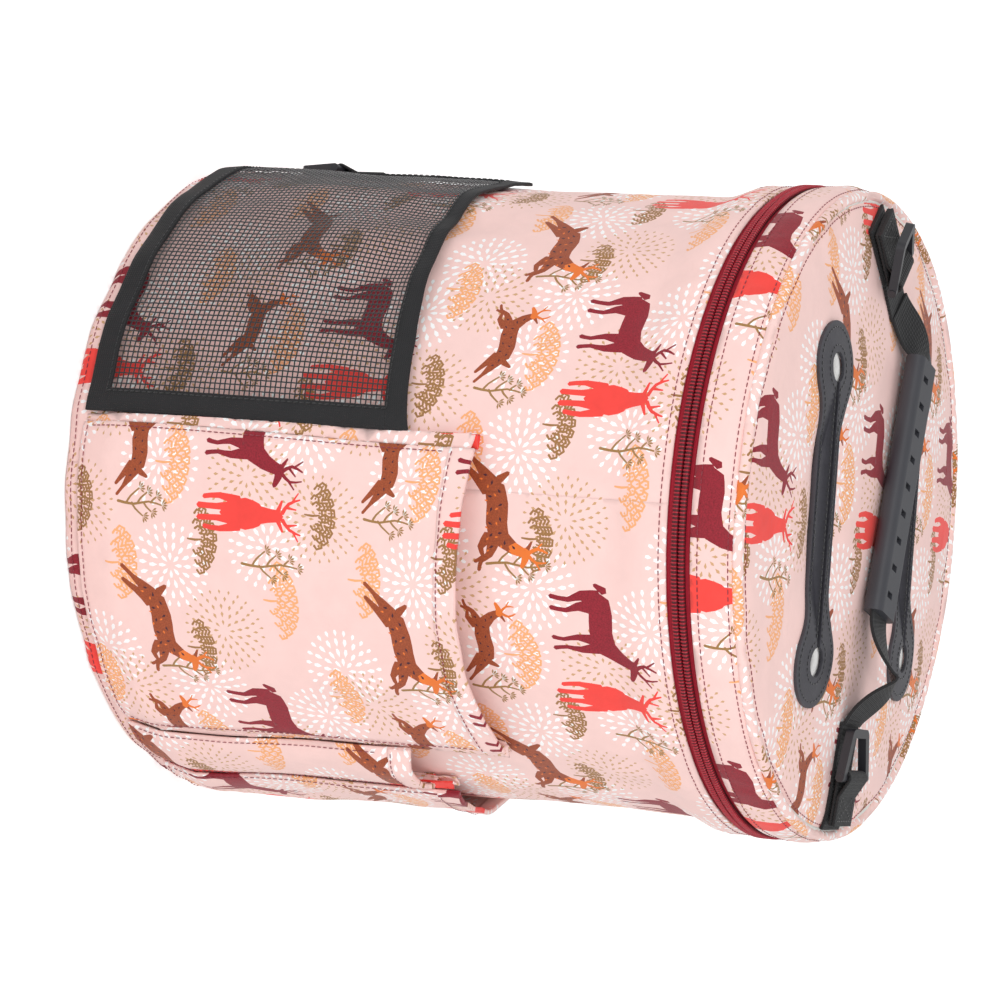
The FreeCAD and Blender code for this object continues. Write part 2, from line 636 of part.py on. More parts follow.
grip = new_body("handle_grip")
grip_outline = outline_sketch(grip, "outline", "YZ_Plane", [
    ("grip_width / -2", "grip_thickness / -2"),
    ("grip_width / 2", "grip_thickness / -2"),
    ("grip_width / 2", "grip_thickness / 2"),
    ("grip_width / -2", "grip_thickness / 2"),
])
grip_pad = grip.newObject("PartDesign::Pad", "moulding")
grip_pad.Profile = grip_outline
grip_pad.setExpression("Length", dim("grip_length"))
grip_pad.Midplane = True
doc.recompute()
fillet_edges(grip, "long_rounding", lambda edge: abs(edge.tangentAt(edge.FirstParameter).x) > 0.99, "grip_corner")
slot_sketch = outline_sketch(grip, "slot", "XY_Plane", [
    ("grip_slot_pitch * ( grip_slots - 1 ) / -2 - grip_slot_width / 2", "grip_slot_length / -2 - 3"),
    ("grip_slot_pitch * ( grip_slots - 1 ) / -2 + grip_slot_width / 2", "grip_slot_length / -2 - 3"),
    ("grip_slot_pitch * ( grip_slots - 1 ) / -2 + grip_slot_width / 2", "grip_slot_length / 2 - 3"),
    ("grip_slot_pitch * ( grip_slots - 1 ) / -2 - grip_slot_width / 2", "grip_slot_length / 2 - 3"),
])
slot_sketch.setExpression("AttachmentOffset.Base.z", dim("grip_thickness / 2"))
slot = grip.newObject("PartDesign::Pocket", "slot_pocket")
slot.Profile = slot_sketch
slot.setExpression("Length", dim("grip_slot_depth"))
doc.recompute()
row_of_slots = grip.newObject("PartDesign::LinearPattern", "row_of_slots")
row_of_slots.Originals = [slot]
row_of_slots.Direction = (slot_sketch, ["H_Axis"])
row_of_slots.setExpression("Length", dim("grip_slot_pitch * ( grip_slots - 1 )"))
row_of_slots.setExpression("Occurrences", dim("grip_slots"))
grip.Tip = row_of_slots
doc.recompute()
grip.Placement = Placement(Vector(grip_middle.x, grip_middle.y, grip_height), Rotation(Vector(0, 0, 1), grip_turn))


def bezier(points, step):
    """Point and direction at a share of a cubic Bezier curve."""
    a, b, c, d = points
    u = 1 - step
    point = a * (u ** 3) + b * (3 * u * u * step) + c * (3 * u * step * step) + d * (step ** 3)
    slope = (b - a) * (3 * u * u) + (c - b) * (6 * u * step) + (d - c) * (3 * step * step)
    return point, slope.normalize()


def ribbon(label, curves, steps=6):
    """Free webbing: equal rectangles set along a chain of curves and lofted into one strap."""
    half_width = size("webbing_width") / 2 - 1.0
    half_thick = size("webbing_thickness") / 2
    wires = []
    for number, curve in enumerate(curves):
        first = 0 if number == 0 else 1
        for index in range(first, steps + 1):
            point, slope = bezier(curve, index / steps)
            across = Vector(0, 0, 1).cross(slope).normalize()
            upward = slope.cross(across).normalize()
            corners = [point + across * (half_width * a) + upward * (half_thick * b)
                       for a, b in ((-1, -1), (1, -1), (1, 1), (-1, 1))]
            wires.append(Part.makePolygon(corners + [corners[0]]))
    strap = doc.addObject("Part::Feature", f"{label}_strap")
    strap.Shape = Part.makeLoft(wires, True, False)
    finished(strap, label)


def heading(turn, climb=0.0):
    angle = math.radians(turn)
    rise = math.radians(climb)
    return Vector(math.cos(angle) * math.cos(rise), math.sin(angle) * math.cos(rise), math.sin(rise))


strap_lift = size("layer_gap") * 2 + size("webbing_thickness") / 2
left_fold = along(left_end, LEFT_TURN, size("anchor_length") + 1.0)
left_start = lid_point(left_fold.x, left_fold.y, strap_lift)
left_grip = along(Vector(grip_middle.x, grip_middle.y, grip_height), grip_turn + 180, size("grip_length") / 2 + 0.4)
ribbon("strap_left", [[left_start, left_start + heading(LEFT_TURN, 8) * 12,
                       left_grip - heading(grip_turn, 2) * 10, left_grip]])

right_fold = along(right_end, RIGHT_TURN, size("anchor_length") + 1.0)
right_start = lid_point(right_fold.x, right_fold.y, strap_lift)
right_grip = along(Vector(grip_middle.x, grip_middle.y, grip_height), grip_turn, size("grip_length") / 2 + 0.4)
crest = (right_grip + right_start) * 0.5 + Vector(3, 6, 13)
ribbon("strap_right", [
    [right_grip, right_grip + heading(grip_turn, -4) * 9, crest - heading(0, 28) * 9, crest],
    [crest, crest + heading(0, 28) * 7, right_start + heading(RIGHT_TURN, 26) * 14, right_start],
])

# ---------------------------------------------------------------- slider and pull

PARK_ANGLE = 90 - size("hinge_half_angle") - size("parking_angle") / 2
COIL_OUTSIDE = size(f"{COIL_RADIUS} + coil_thickness / 2")
TAPE_INSIDE = size(TAPE_INNER)
slider_place = Placement(Vector(0, 0, size("zip_height")), Rotation(Vector(0, 0, 1), PARK_ANGLE))

# In the slider's own axes X points out of the drum and Y runs along the zip.
front_plate = doc.addObject("Part::Box", "slider_front")
front_plate.setExpression("Length", dim("slider_plate"))
front_plate.setExpression("Width", dim("slider_length"))
front_plate.setExpression("Height", dim("slider_height"))
front_plate.Placement.Base = Vector(COIL_OUTSIDE + size("slider_clearance"), -size("slider_length") / 2,
                                    -size("slider_height") / 2)
bridge_out = doc.addObject("Part::Box", "slider_bridge")
bridge_out.setExpression("Length", dim("slider_plate + pull_bar + 1.6"))
bridge_out.setExpression("Width", dim("slider_length - 4"))
bridge_out.setExpression("Height", dim("slider_height / 2 - 1.5"))
bridge_out.Placement.Base = Vector(COIL_OUTSIDE + size("slider_clearance"), -size("slider_length") / 2 + 2,
                                   -size("slider_height") / 4 + 0.75)
bridge_gap = doc.addObject("Part::Box", "slider_bridge_gap")
bridge_gap.setExpression("Length", dim("pull_bar + 0.3"))
bridge_gap.setExpression("Width", dim("slider_length - 7"))
bridge_gap.setExpression("Height", dim("slider_height"))
bridge_gap.Placement.Base = Vector(COIL_OUTSIDE + size("slider_clearance") + size("slider_plate"),
                                   -size("slider_length") / 2 + 3.5, -size("slider_height") / 2)
slider_front = cut("slider_casting", fuse("slider_blank", [front_plate, bridge_out]), bridge_gap)
slider_front.Placement = slider_place
finished(slider_front, "zip_slider")

back_plate = doc.addObject("Part::Box", "slider_back")
back_plate.setExpression("Length", dim("slider_plate"))
back_plate.setExpression("Width", dim("slider_length"))
back_plate.setExpression("Height", dim("slider_height - 1"))
back_place = Placement(Vector(TAPE_INSIDE - size("slider_clearance") - size("slider_plate"),
                              -size("slider_length") / 2, -size("slider_height") / 2 + 0.5), Rotation())
back_plate.Placement = slider_place.multiply(back_place)
finished(back_plate, "zip_slider_back")

# The pull's bar stands upright in the bridge, and the pull lies along the zip towards the front.
bar_x = COIL_OUTSIDE + size("slider_clearance") + size("slider_plate") + 0.15 + size("pull_bar") / 2
pull_bar = doc.addObject("Part::Cylinder", "pull_bar_rod")
pull_bar.setExpression("Radius", dim("pull_bar / 2"))
pull_bar.setExpression("Height", dim("pull_width"))
pull_bar.Placement.Base = Vector(bar_x, 0, -size("pull_width") / 2)
pull_plate = doc.addObject("Part::Box", "pull_plate")
pull_plate.setExpression("Length", dim("pull_thickness"))
pull_plate.setExpression("Width", dim("pull_length"))
pull_plate.setExpression("Height", dim("pull_width"))
pull_plate.Placement.Base = Vector(bar_x - size("pull_thickness") / 2, -size("pull_length"),
                                   -size("pull_width") / 2)
pull_window = doc.addObject("Part::Box", "pull_window")
pull_window.setExpression("Length", dim("pull_thickness + 2"))
pull_window.setExpression("Width", dim("slider_length / 2 + 0.8"))
pull_window.setExpression("Height", dim("slider_height / 2 - 0.5"))
pull_window.Placement.Base = Vector(bar_x - size("pull_thickness") / 2 - 1, -size("slider_length") / 2 - 0.8,
                                    -size("slider_height") / 4 + 0.25)
pull_framed = cut("pull_framed", pull_plate, pull_window)
pull_whole = fuse("pull_whole", [pull_bar, pull_framed])
pull_whole.Placement = slider_place
finished(pull_whole, "zip_pull")

# ---------------------------------------------------------------- check and write

doc.recompute()
for item in doc.Objects:
    if "Invalid" in item.State or "Error" in item.State:
        raise RuntimeError(f"{item.Name} ({item.Label}) failed: {item.State}")
os.makedirs("parts", exist_ok=True)
for piece in pieces:
    shape = piece.Shape
    if shape.isNull() or not shape.isValid():
        raise RuntimeError(f"{piece.Label} has no valid shape")
    shape.exportStep(f"parts/{piece.Label}.step")
    print(f"{piece.Label:22s} solids {len(shape.Solids)} volume {shape.Volume:10.0f} mm3")

for name in ("d_ring_left", "d_ring_right", "d_ring_low"):
    place = [piece for piece in pieces if piece.Label == name][0].Placement
    print(name, "bar at", place.Base, "nose lifts about", place.Rotation.multVec(Vector(0, -1, 0)))
print("pull pivot", slider_place.multVec(Vector(bar_x, 0, 0)), "parked at", PARK_ANGLE)
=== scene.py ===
import math

import bmesh
import bpy
from mathutils import Matrix, Vector, noise
from mathutils.geometry import delaunay_2d_cdt


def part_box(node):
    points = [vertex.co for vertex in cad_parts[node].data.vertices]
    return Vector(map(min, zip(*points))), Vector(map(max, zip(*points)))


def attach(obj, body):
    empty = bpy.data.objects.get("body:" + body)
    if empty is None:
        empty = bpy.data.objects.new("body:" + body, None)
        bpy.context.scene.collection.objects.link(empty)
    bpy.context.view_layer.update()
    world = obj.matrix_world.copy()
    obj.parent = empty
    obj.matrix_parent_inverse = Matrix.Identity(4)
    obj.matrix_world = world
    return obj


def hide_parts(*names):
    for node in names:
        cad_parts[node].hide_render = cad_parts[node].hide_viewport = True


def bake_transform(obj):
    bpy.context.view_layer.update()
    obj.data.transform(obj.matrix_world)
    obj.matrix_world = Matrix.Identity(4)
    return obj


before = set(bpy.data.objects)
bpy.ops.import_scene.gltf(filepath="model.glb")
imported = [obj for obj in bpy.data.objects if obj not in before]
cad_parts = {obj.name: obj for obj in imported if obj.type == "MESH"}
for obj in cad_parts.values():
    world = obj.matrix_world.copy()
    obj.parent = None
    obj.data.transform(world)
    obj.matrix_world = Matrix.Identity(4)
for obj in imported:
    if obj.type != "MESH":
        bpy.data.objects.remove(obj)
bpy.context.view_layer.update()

# A drum-shaped carrier bag of printed polyester with a zipped, hinged lid. Metres, +Z up, the
# front is -Y and the lid's hinge is at +Y. Flat patterns are worked out in millimetres.

MM = 0.001

# ------------------------------------------------------------------ camera

# A long lens looks down on the bag from the front, and is turned a quarter turn on its side.
CAMERA_PLACE = Vector((0.0, -1.6082, 0.9092))
LOOK_AT = Vector((0.0045, -0.0054, 0.1666))
ROLL = math.radians(4.08)
forward = (LOOK_AT - CAMERA_PLACE).normalized()
level_right = forward.cross(Vector((0, 0, 1))).normalized()
level_up = level_right.cross(forward)
bag_right = level_right * math.cos(ROLL) + level_up * math.sin(ROLL)
bag_up = level_up * math.cos(ROLL) - level_right * math.sin(ROLL)
camera_data = bpy.data.cameras.new("camera")
camera_data.lens = 124.04
camera_data.sensor_width = 36.0
camera_data.clip_end = 20.0
camera = bpy.data.objects.new("camera", camera_data)
bpy.context.scene.collection.objects.link(camera)
turned = Matrix((bag_up, -bag_right, -forward)).transposed().to_4x4()
camera.matrix_world = Matrix.Translation(CAMERA_PLACE) @ turned
bpy.context.scene.camera = camera


# ------------------------------------------------------------------ the printed cloth

# The outside is pale pink woven polyester printed with a woodland pattern: standing and leaping deer,
# seed-head bursts, bushes and twigs. The pattern repeats, so one repeat is drawn flat, cut into
# triangles with its inks, and laid over every panel.
def colour(code):
    """Linear colour of an sRGB hex code."""
    channels = [int(code[i:i + 2], 16) / 255 for i in (1, 3, 5)]
    linear = [c / 12.92 if c <= 0.04045 else ((c + 0.055) / 1.055) ** 2.4 for c in channels]
    return (*linear, 1.0)


def add(tree, kind, links=None, **settings):
    """A shader node with its settings, and its inputs linked or given values."""
    node = tree.nodes.new(kind)
    for name, value in settings.items():
        setattr(node, name, value)
    for name, value in (links or {}).items():
        socket = node.inputs[name]
        if isinstance(value, bpy.types.NodeSocket):
            tree.links.new(value, socket)
        else:
            socket.default_value = value
    return node


def new_material(name):
    """An empty material with its output, and a Principled shader joined to it."""
    material = bpy.data.materials.new(name)
    material.use_nodes = True
    tree = material.node_tree
    tree.nodes.clear()
    shader = add(tree, "ShaderNodeBsdfPrincipled")
    add(tree, "ShaderNodeOutputMaterial", {"Surface": shader.outputs["BSDF"]})
    return material, tree, shader


def grain(size):
    """Texture scale of a pattern whose features are a size in mm across."""
    return 1 / (size * MM)


def weave_bump(tree, pitch, depth):
    """Over-and-under threads from the flat pattern of the cloth, with creases 26 mm apart under them."""
    flat = add(tree, "ShaderNodeUVMap", uv_map="flat").outputs["UV"]
    scale = 2 * math.pi / (20 * pitch * MM)
    warp = add(tree, "ShaderNodeTexWave", {"Vector": flat, "Scale": scale}, bands_direction="X")
    weft = add(tree, "ShaderNodeTexWave", {"Vector": flat, "Scale": scale}, bands_direction="Y")
    threads = add(tree, "ShaderNodeMath", {0: warp.outputs["Fac"], 1: weft.outputs["Fac"]},
                  operation="MULTIPLY")
    place = add(tree, "ShaderNodeTexCoord").outputs["Object"]
    crease = add(tree, "ShaderNodeTexNoise",
                 {"Vector": place, "Scale": grain(26.3), "Detail": 3.0, "Distortion": 0.6})
    soft = add(tree, "ShaderNodeBump",
               {"Height": crease.outputs["Fac"], "Distance": 2.6 * MM, "Strength": 0.42})
    fine = add(tree, "ShaderNodeBump", {"Height": threads.outputs["Value"], "Distance": depth * MM,
                                        "Strength": 0.6, "Normal": soft.outputs["Normal"]})
    return fine.outputs["Normal"], place


def mottled(tree, place, code, amount, size):
    """The colour, lighter and darker by an amount in patches of a size in mm."""
    cloud = add(tree, "ShaderNodeTexNoise", {"Vector": place, "Scale": grain(size), "Detail": 4.0})
    level = add(tree, "ShaderNodeMapRange", {"Value": cloud.outputs["Fac"], "From Min": 0.3, "From Max": 0.7,
                                             "To Min": 1 - amount, "To Max": 1 + amount * 0.6})
    tint = add(tree, "ShaderNodeHueSaturation", {"Value": level.outputs["Result"], "Color": colour(code)})
    return tint.outputs["Color"]


def cloth(name, code, amount=0.03, pitch=0.45, depth=0.05, sheen=0.12, speckle=11.1):
    """Woven polyester: threads at a pitch and depth in mm, which give a matt face with a faint sheen.
    Its colour varies in speckles of a size in mm, because ink and dye sink in unevenly."""
    material, tree, shader = new_material(name)
    normal, place = weave_bump(tree, pitch, depth)
    tree.links.new(mottled(tree, place, code, amount, speckle), shader.inputs["Base Color"])
    tree.links.new(normal, shader.inputs["Normal"])
    shader.inputs["Roughness"].default_value = 0.62
    shader.inputs["Sheen Weight"].default_value = sheen
    shader.inputs["Sheen Roughness"].default_value = 0.5
    shader.inputs["Specular IOR Level"].default_value = 0.35
    return material


# Each ink is the same cloth in its own colour; the maroon and the rust are printed in fine speckles.
GROUND, WHITE, SAND, PEACH, UMBER, TWIG, MAROON, RED, ORANGE, RUST, NAVY = range(11)
INKS = [
    cloth("printed_cloth_ground", "#fbd5cf"),
    cloth("printed_cloth_white", "#ffffff"),
    cloth("printed_cloth_sand", "#d3a67a"),
    cloth("printed_cloth_peach", "#f9b17a"),
    cloth("printed_cloth_umber", "#a27545"),
    cloth("printed_cloth_twig", "#a37a47"),
    cloth("printed_cloth_maroon", "#951b2c", 0.35, speckle=0.667),
    cloth("printed_cloth_red", "#f9463e", 0.08),
    cloth("printed_cloth_orange", "#ee7a2e", 0.08),
    cloth("printed_cloth_rust", "#a24c28", 0.3, speckle=0.667),
    cloth("printed_cloth_navy", "#45202c", 0.1),
]
REPEAT_WIDTH = 152.0
REPEAT_HEIGHT = 134.0
GRID = 4.75         # spacing of the extra points that let the flat cloth bend


def smooth_path(points, steps=2):
    """Points of a smooth line through the given (x, y, half width) points."""
    if len(points) < 3:
        return points
    line = []
    ends = [points[0]] + list(points) + [points[-1]]
    for a, b, c, d in zip(ends, ends[1:], ends[2:], ends[3:]):
        for step in range(steps):
            u = step / steps
            line.append(tuple(
                0.5 * (2 * q + (r - p) * u + (2 * p - 5 * q + 4 * r - s) * u * u
                       + (3 * q - p - 3 * r + s) * u ** 3)
                for p, q, r, s in zip(a, b, c, d)))
    line.append(points[-1])
    return line


def stroke(points, steps=2):
    """Outline of a brush stroke that swells and thins along its points."""
    line = smooth_path(points, steps)
    left, right = [], []
    for index, (x, y, half) in enumerate(line):
        before = line[max(index - 1, 0)]
        after = line[min(index + 1, len(line) - 1)]
        run = math.hypot(after[0] - before[0], after[1] - before[1]) or 1.0
        nx, ny = -(after[1] - before[1]) / run, (after[0] - before[0]) / run
        left.append((x + nx * half, y + ny * half))
        right.append((x - nx * half, y - ny * half))
    (x0, y0, w0), (x1, y1, w1) = line[0], line[-1]
    start = math.hypot(line[1][0] - x0, line[1][1] - y0) or 1.0
    finish = math.hypot(x1 - line[-2][0], y1 - line[-2][1]) or 1.0
    nose = (x1 + (x1 - line[-2][0]) / finish * w1 * 0.8, y1 + (y1 - line[-2][1]) / finish * w1 * 0.8)
    tail = (x0 - (line[1][0] - x0) / start * w0 * 0.8, y0 - (line[1][1] - y0) / start * w0 * 0.8)
    return left + [nose] + right[::-1] + [tail]


def petal(x, y, angle, length, width):
    """A seed-shaped dash pointing along an angle; small ones are plain kites."""
    c, s = math.cos(angle), math.sin(angle)
    shape = ((-0.5, 0), (0.02, 0.5), (0.46, 0.3), (0.46, -0.3), (0.02, -0.5))
    if length < 3.35:
        shape = ((-0.5, 0), (0.12, 0.5), (0.5, 0), (0.12, -0.5))
    return [(x + c * a * length - s * b * width, y + s * a * length + c * b * width) for a, b in shape]


# The animals are drawn as brush strokes, each a row of (across, up, half width) points from the feet's
# level up. In LEAPING and STAG the strokes are body, neck, head, ear, legs, tail and then antlers.
STAG = [
    [(-12, 21, 4.6), (-6, 21.6, 5.0), (2, 21, 4.9), (9, 22.5, 4.8)],
    [(8, 22, 4.6), (12.5, 28, 3.2), (15, 34, 2.3)],
    [(14.2, 34.6, 2.2), (18, 34.2, 1.7), (21.6, 32.8, 1.0)],
    [(13.6, 35.4, 1.0), (10.2, 37.6, 0.4)],
    [(9, 20, 2.9), (10.4, 12, 1.5), (9.6, 6, 0.9), (10.4, 0.6, 1.0)],
    [(6, 19, 2.8), (4.8, 11, 1.4), (6, 5, 0.9), (5.2, 0.6, 1.0)],
    [(-12.5, 20, 3.9), (-13.6, 13.4, 2.1), (-11.6, 8, 1.1), (-12.6, 0.6, 1.0)],
    [(-9, 18, 3.3), (-8.8, 12, 1.8), (-7, 7, 1.0), (-7.8, 0.6, 1.0)],
    [(-16, 23.4, 1.7), (-18.4, 19.4, 0.8)],
    [(15.4, 36, 0.9), (13.2, 40, 0.7), (15.2, 45, 0.35)],
    [(13.8, 38.6, 0.6), (17.2, 42, 0.3)],
    [(13.4, 41, 0.5), (10.8, 44.6, 0.3)],
    [(16.6, 36, 0.8), (19.6, 39.8, 0.6), (19, 45, 0.3)],
    [(19.2, 39, 0.5), (22.6, 42, 0.3)],
]
FACING_HALF = [
    [(3.0, 17, 2.2), (2.3, 9, 1.3), (2.5, 0.6, 1.2)],
    [(5.0, 19, 2.2), (6.8, 10, 1.2), (6.0, 3.0, 1.0)],
    [(1.8, 37, 1.1), (6.4, 38.8, 0.5)],
    [(1.3, 39, 0.9), (5.4, 42, 0.7), (7.4, 47, 0.35)],
    [(3.8, 40.8, 0.6), (3.2, 45.4, 0.3)],
    [(6.3, 43.6, 0.5), (10.0, 46, 0.3)],
]
FACING_MIDDLE = [
    [(0, 14, 4.6), (0, 22, 6.6), (0, 28.5, 4.6)],
    [(0, 27, 4.2), (0, 32.5, 3.0), (0, 37.6, 2.5)],
    [(0, 36, 2.2), (0, 31.6, 1.3)],
]
LEAPING = [
    [(-12, 15.4, 4.4), (-5, 17.2, 4.8), (3, 17, 4.8), (9, 18.2, 4.4)],
    [(9, 18.6, 4.0), (13.6, 24.4, 2.8), (15.4, 29, 2.0)],
    [(14.6, 29.6, 2.1), (18, 29.6, 1.6), (21.4, 28.2, 0.9)],
    [(13.6, 30.6, 1.0), (10.4, 32.4, 0.4)],
    [(-13, 14.2, 3.7), (-19, 9, 2.1), (-23, 5.2, 1.0), (-27, 1, 0.9)],
    [(-11, 12.4, 3.2), (-16, 6.4, 1.7), (-21, 1, 0.9)],
    [(11, 15.6, 2.9), (17, 13.6, 1.6), (20, 10, 1.0), (24, 9, 0.8)],
    [(9, 13.6, 2.6), (14, 9.8, 1.4), (18, 10.8, 0.9), (20.4, 7.2, 0.8)],
    [(-15.4, 17, 1.9), (-18.4, 20.8, 0.9)],
    [(15.4, 31, 0.9), (13.2, 35, 0.7), (14.8, 39.4, 0.35)],
    [(13.8, 34, 0.5), (10.8, 37, 0.3)],
    [(16.4, 31, 0.8), (19.2, 34.6, 0.6), (18.8, 39, 0.3)],
    [(18.8, 34, 0.5), (22, 36.6, 0.3)],
]

drawn = []      # (ink, outline) in the order printed


def place_motif(ink, outlines, x, y, scale=1.0, flip=1, turn=0.0):
    """Prints outlines at a place on the repeat, and again wherever they cross its edges."""
    c, s = math.cos(math.radians(turn)), math.sin(math.radians(turn))
    for outline in outlines:
        moved = [(x + scale * (c * px * flip - s * py), y + scale * (s * px * flip + c * py))
                 for px, py in outline]
        following = moved[1:] + moved[:1]
        if sum(a[0] * b[1] - b[0] * a[1] for a, b in zip(moved, following)) < 0:
            moved.reverse()
        low_x, high_x = min(p[0] for p in moved), max(p[0] for p in moved)
        low_y, high_y = min(p[1] for p in moved), max(p[1] for p in moved)
        for across in (-1, 0, 1):
            for up in (-1, 0, 1):
                dx, dy = across * REPEAT_WIDTH, up * REPEAT_HEIGHT
                inside_x = high_x + dx > 0 and low_x + dx < REPEAT_WIDTH
                inside_y = high_y + dy > 0 and low_y + dy < REPEAT_HEIGHT
                if inside_x and inside_y:
                    drawn.append((ink, [(px + dx, py + dy) for px, py in moved]))


def burst(rings):
    """Seed head: rings of dashes round a centre; each ring is (radius, count, length, width)."""
    outlines = []
    for number, (radius, count, length, width) in enumerate(rings):
        for index in range(count):
            angle = math.radians(360 * (index + 0.5 * (number % 2)) / count)
            outlines.append(petal(math.cos(angle) * radius, math.sin(angle) * radius, angle, length, width))
    return outlines


def lace_bush(width):
    """A bush drawn as a fan of loops in five rows round its stem, wider than it is tall."""
    outlines = [stroke([(0, -4, 0.4), (0.4, 0, 0.6), (0, 4, 0.4)])]
    for row in range(5):
        radius = 5 + (width / 2 - 5) * row / 4
        count = max(4, int(2.5 * radius / 4.4))
        for index in range(count):
            angle = math.radians(18 + 144 * (index + 0.5 * (row % 2)) / (count - 0.5))
            x, y = radius * math.cos(angle), radius * math.sin(angle) * 0.66
            ax, ay = math.sin(angle), -math.cos(angle)
            loop = [(x + ax * a - ay * b, y + ay * a + ax * b, 0.62)
                    for a, b in ((-2.1, 0), (-1.4, 2.2), (1.4, 2.2), (2.1, 0))]
            outlines.append(stroke(loop, 1))
            outlines.append(petal(x - ay * 0.9, y + ax * 0.9, angle, 1.7, 1.1))
    return outlines


def twig(height, lean=1):
    """A thin branching stem whose tips carry small flower heads."""
    stems = [[(0, 0, 0.7), (1.2 * lean, height * 0.35, 0.6), (-0.4 * lean, height * 0.7, 0.5),
              (lean, height, 0.4)]]
    tips = [(lean, height, 90)]
    for share, side in ((0.2, -1), (0.32, 1), (0.46, -1), (0.6, 1), (0.76, -1)):
        reach = 7.5 * (1.15 - share)
        x0, y0 = 0.7 * lean * (1 - share), height * share
        x1, y1 = x0 + side * reach, y0 + reach * 0.95
        stems.append([(x0, y0, 0.55), (x0 + side * reach * 0.45, y0 + reach * 0.3, 0.5), (x1, y1, 0.4)])
        tips.append((x1, y1, 90 - side * 24))
    outlines = [stroke(stem) for stem in stems]
    for x, y, aim in tips:
        for spread in (-58, -29, 0, 29, 58):
            angle = math.radians(aim + spread)
            outlines.append(petal(x + math.cos(angle) * 2.0, y + math.sin(angle) * 2.0, angle, 3.3, 1.0))
    return outlines


def spots(places, length, width):
    return [petal(x, y, math.radians(40 * index), length, width) for index, (x, y) in enumerate(places)]


# The rings of the two seed heads, as (radius, count, length, width).
WHITE_BURST = [(4.3, 8, 4.2, 1.9), (9.4, 14, 4.6, 2.1), (14.8, 19, 4.4, 2.2), (19.6, 24, 3.4, 1.9)]
SAND_BURST = [(4.4, 8, 3.0, 1.4), (8.6, 13, 3.2, 1.6), (12.8, 18, 3.1, 1.6), (16.8, 22, 2.8, 1.5),
              (20.6, 26, 2.4, 1.3)]
FACING = [stroke(s) for s in FACING_MIDDLE + FACING_HALF]
FACING += [stroke([(-x, y, w) for x, y, w in s]) for s in FACING_HALF]
COAT_SPOTS = [(-14, 14), (-10.5, 17.5), (-8, 13.6), (-4.6, 18.4), (-2.4, 14.4), (1.6, 18.6), (3.6, 14.2),
              (7.4, 18.6), (8.4, 14.6), (11.4, 20.6), (13.2, 24.4), (-17, 10.6), (13.6, 14.6)]
ANTLERED = 9        # the strokes of LEAPING from here on are its antlers

for x, y in ((20, 128), (90, 58), (138, 14), (78, 112), (40, 52), (4, 68)):
    place_motif(WHITE, burst(WHITE_BURST), x, y)
for x, y in ((62, 6), (122, 84), (8, 24), (44, 100)):
    place_motif(SAND, burst(SAND_BURST), x, y)
for x, y, size in ((40, 54, 36), (104, 112, 38), (4, 4, 34), (90, 26, 34)):
    place_motif(PEACH, lace_bush(size), x, y)
for x, y, size in ((76, 72, 30), (60, 2, 30), (132, 66, 28)):
    place_motif(UMBER, lace_bush(size), x, y)
for x, y, height, lean in ((86, 98, 30, 1), (146, 44, 30, -1), (60, 30, 24, 1)):
    place_motif(TWIG, twig(height, lean), x, y)
place_motif(MAROON, [stroke(s) for s in STAG], 22, 76, 1.18)
place_motif(RED, FACING, 62, 74, 1.18)
place_motif(RUST, [stroke(s) for s in LEAPING[:ANTLERED]], 122, 30, 1.14)
place_motif(ORANGE, [stroke(s) for s in LEAPING[ANTLERED:] + [LEAPING[1][1:], LEAPING[2]]], 122, 30, 1.14)
place_motif(NAVY, spots(COAT_SPOTS, 2.3, 1.1), 122, 30, 1.14)
place_motif(ORANGE, spots([(x + 1.8, y - 1.6) for x, y in COAT_SPOTS], 1.8, 0.9), 122, 30, 1.14)
place_motif(RUST, [stroke(s) for s in LEAPING[:ANTLERED]], 34, 26, 0.86, -1, 6)
place_motif(ORANGE, [stroke(s) for s in LEAPING[ANTLERED:] + [LEAPING[2]]], 34, 26, 0.86, -1, 6)
place_motif(NAVY, spots(COAT_SPOTS, 2.2, 1.0), 34, 26, 0.86, -1, 6)


def cut_repeat():
    """The flat repeat as triangles: its points, its triangles and each triangle's ink."""
    corners = [(0, 0), (REPEAT_WIDTH, 0), (REPEAT_WIDTH, REPEAT_HEIGHT), (0, REPEAT_HEIGHT)]
    points = [Vector(p) for p in corners]
    faces = [[0, 1, 2, 3]]
    inks = [GROUND]
    for ink, outline in drawn:
        faces.append(list(range(len(points), len(points) + len(outline))))
        points += [Vector(p) for p in outline]
        inks.append(ink)
    across = round(REPEAT_WIDTH / GRID)
    up = round(REPEAT_HEIGHT / GRID)
    for i in range(across + 1):
        for j in range(up + 1):
            points.append(Vector((REPEAT_WIDTH * i / across, REPEAT_HEIGHT * j / up)))
    cut, _, triangles, _, _, sources = delaunay_2d_cdt(points, [], faces, 1, 1e-4)
    kept = [(t, inks[max(s)]) for t, s in zip(triangles, sources) if 0 in s]
    return cut, [t for t, _ in kept], [ink for _, ink in kept]


REPEAT_POINTS, REPEAT_TRIANGLES, REPEAT_INKS = cut_repeat()


def new_piece(name, vertices, faces, materials, body, flat=None, inks=None, smooth=True):
    """A mesh object in metres that rides on a body. flat gives each vertex its place on the cut cloth,
    and inks gives each face its material."""
    mesh = bpy.data.meshes.new(name)
    mesh.from_pydata([tuple(v) for v in vertices], [], faces)
    for material in materials:
        mesh.materials.append(material)
    if inks is not None:
        mesh.polygons.foreach_set("material_index", inks)
    if flat is not None:
        layer = mesh.uv_layers.new(name="flat")
        for loop in mesh.loops:
            layer.data[loop.index].uv = flat[loop.vertex_index]
    mesh.polygons.foreach_set("use_smooth", [smooth] * len(mesh.polygons))
    mesh.update()
    piece = bpy.data.objects.new(name, mesh)
    bpy.context.scene.collection.objects.link(piece)
    if body:
        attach(piece, body)
    return piece


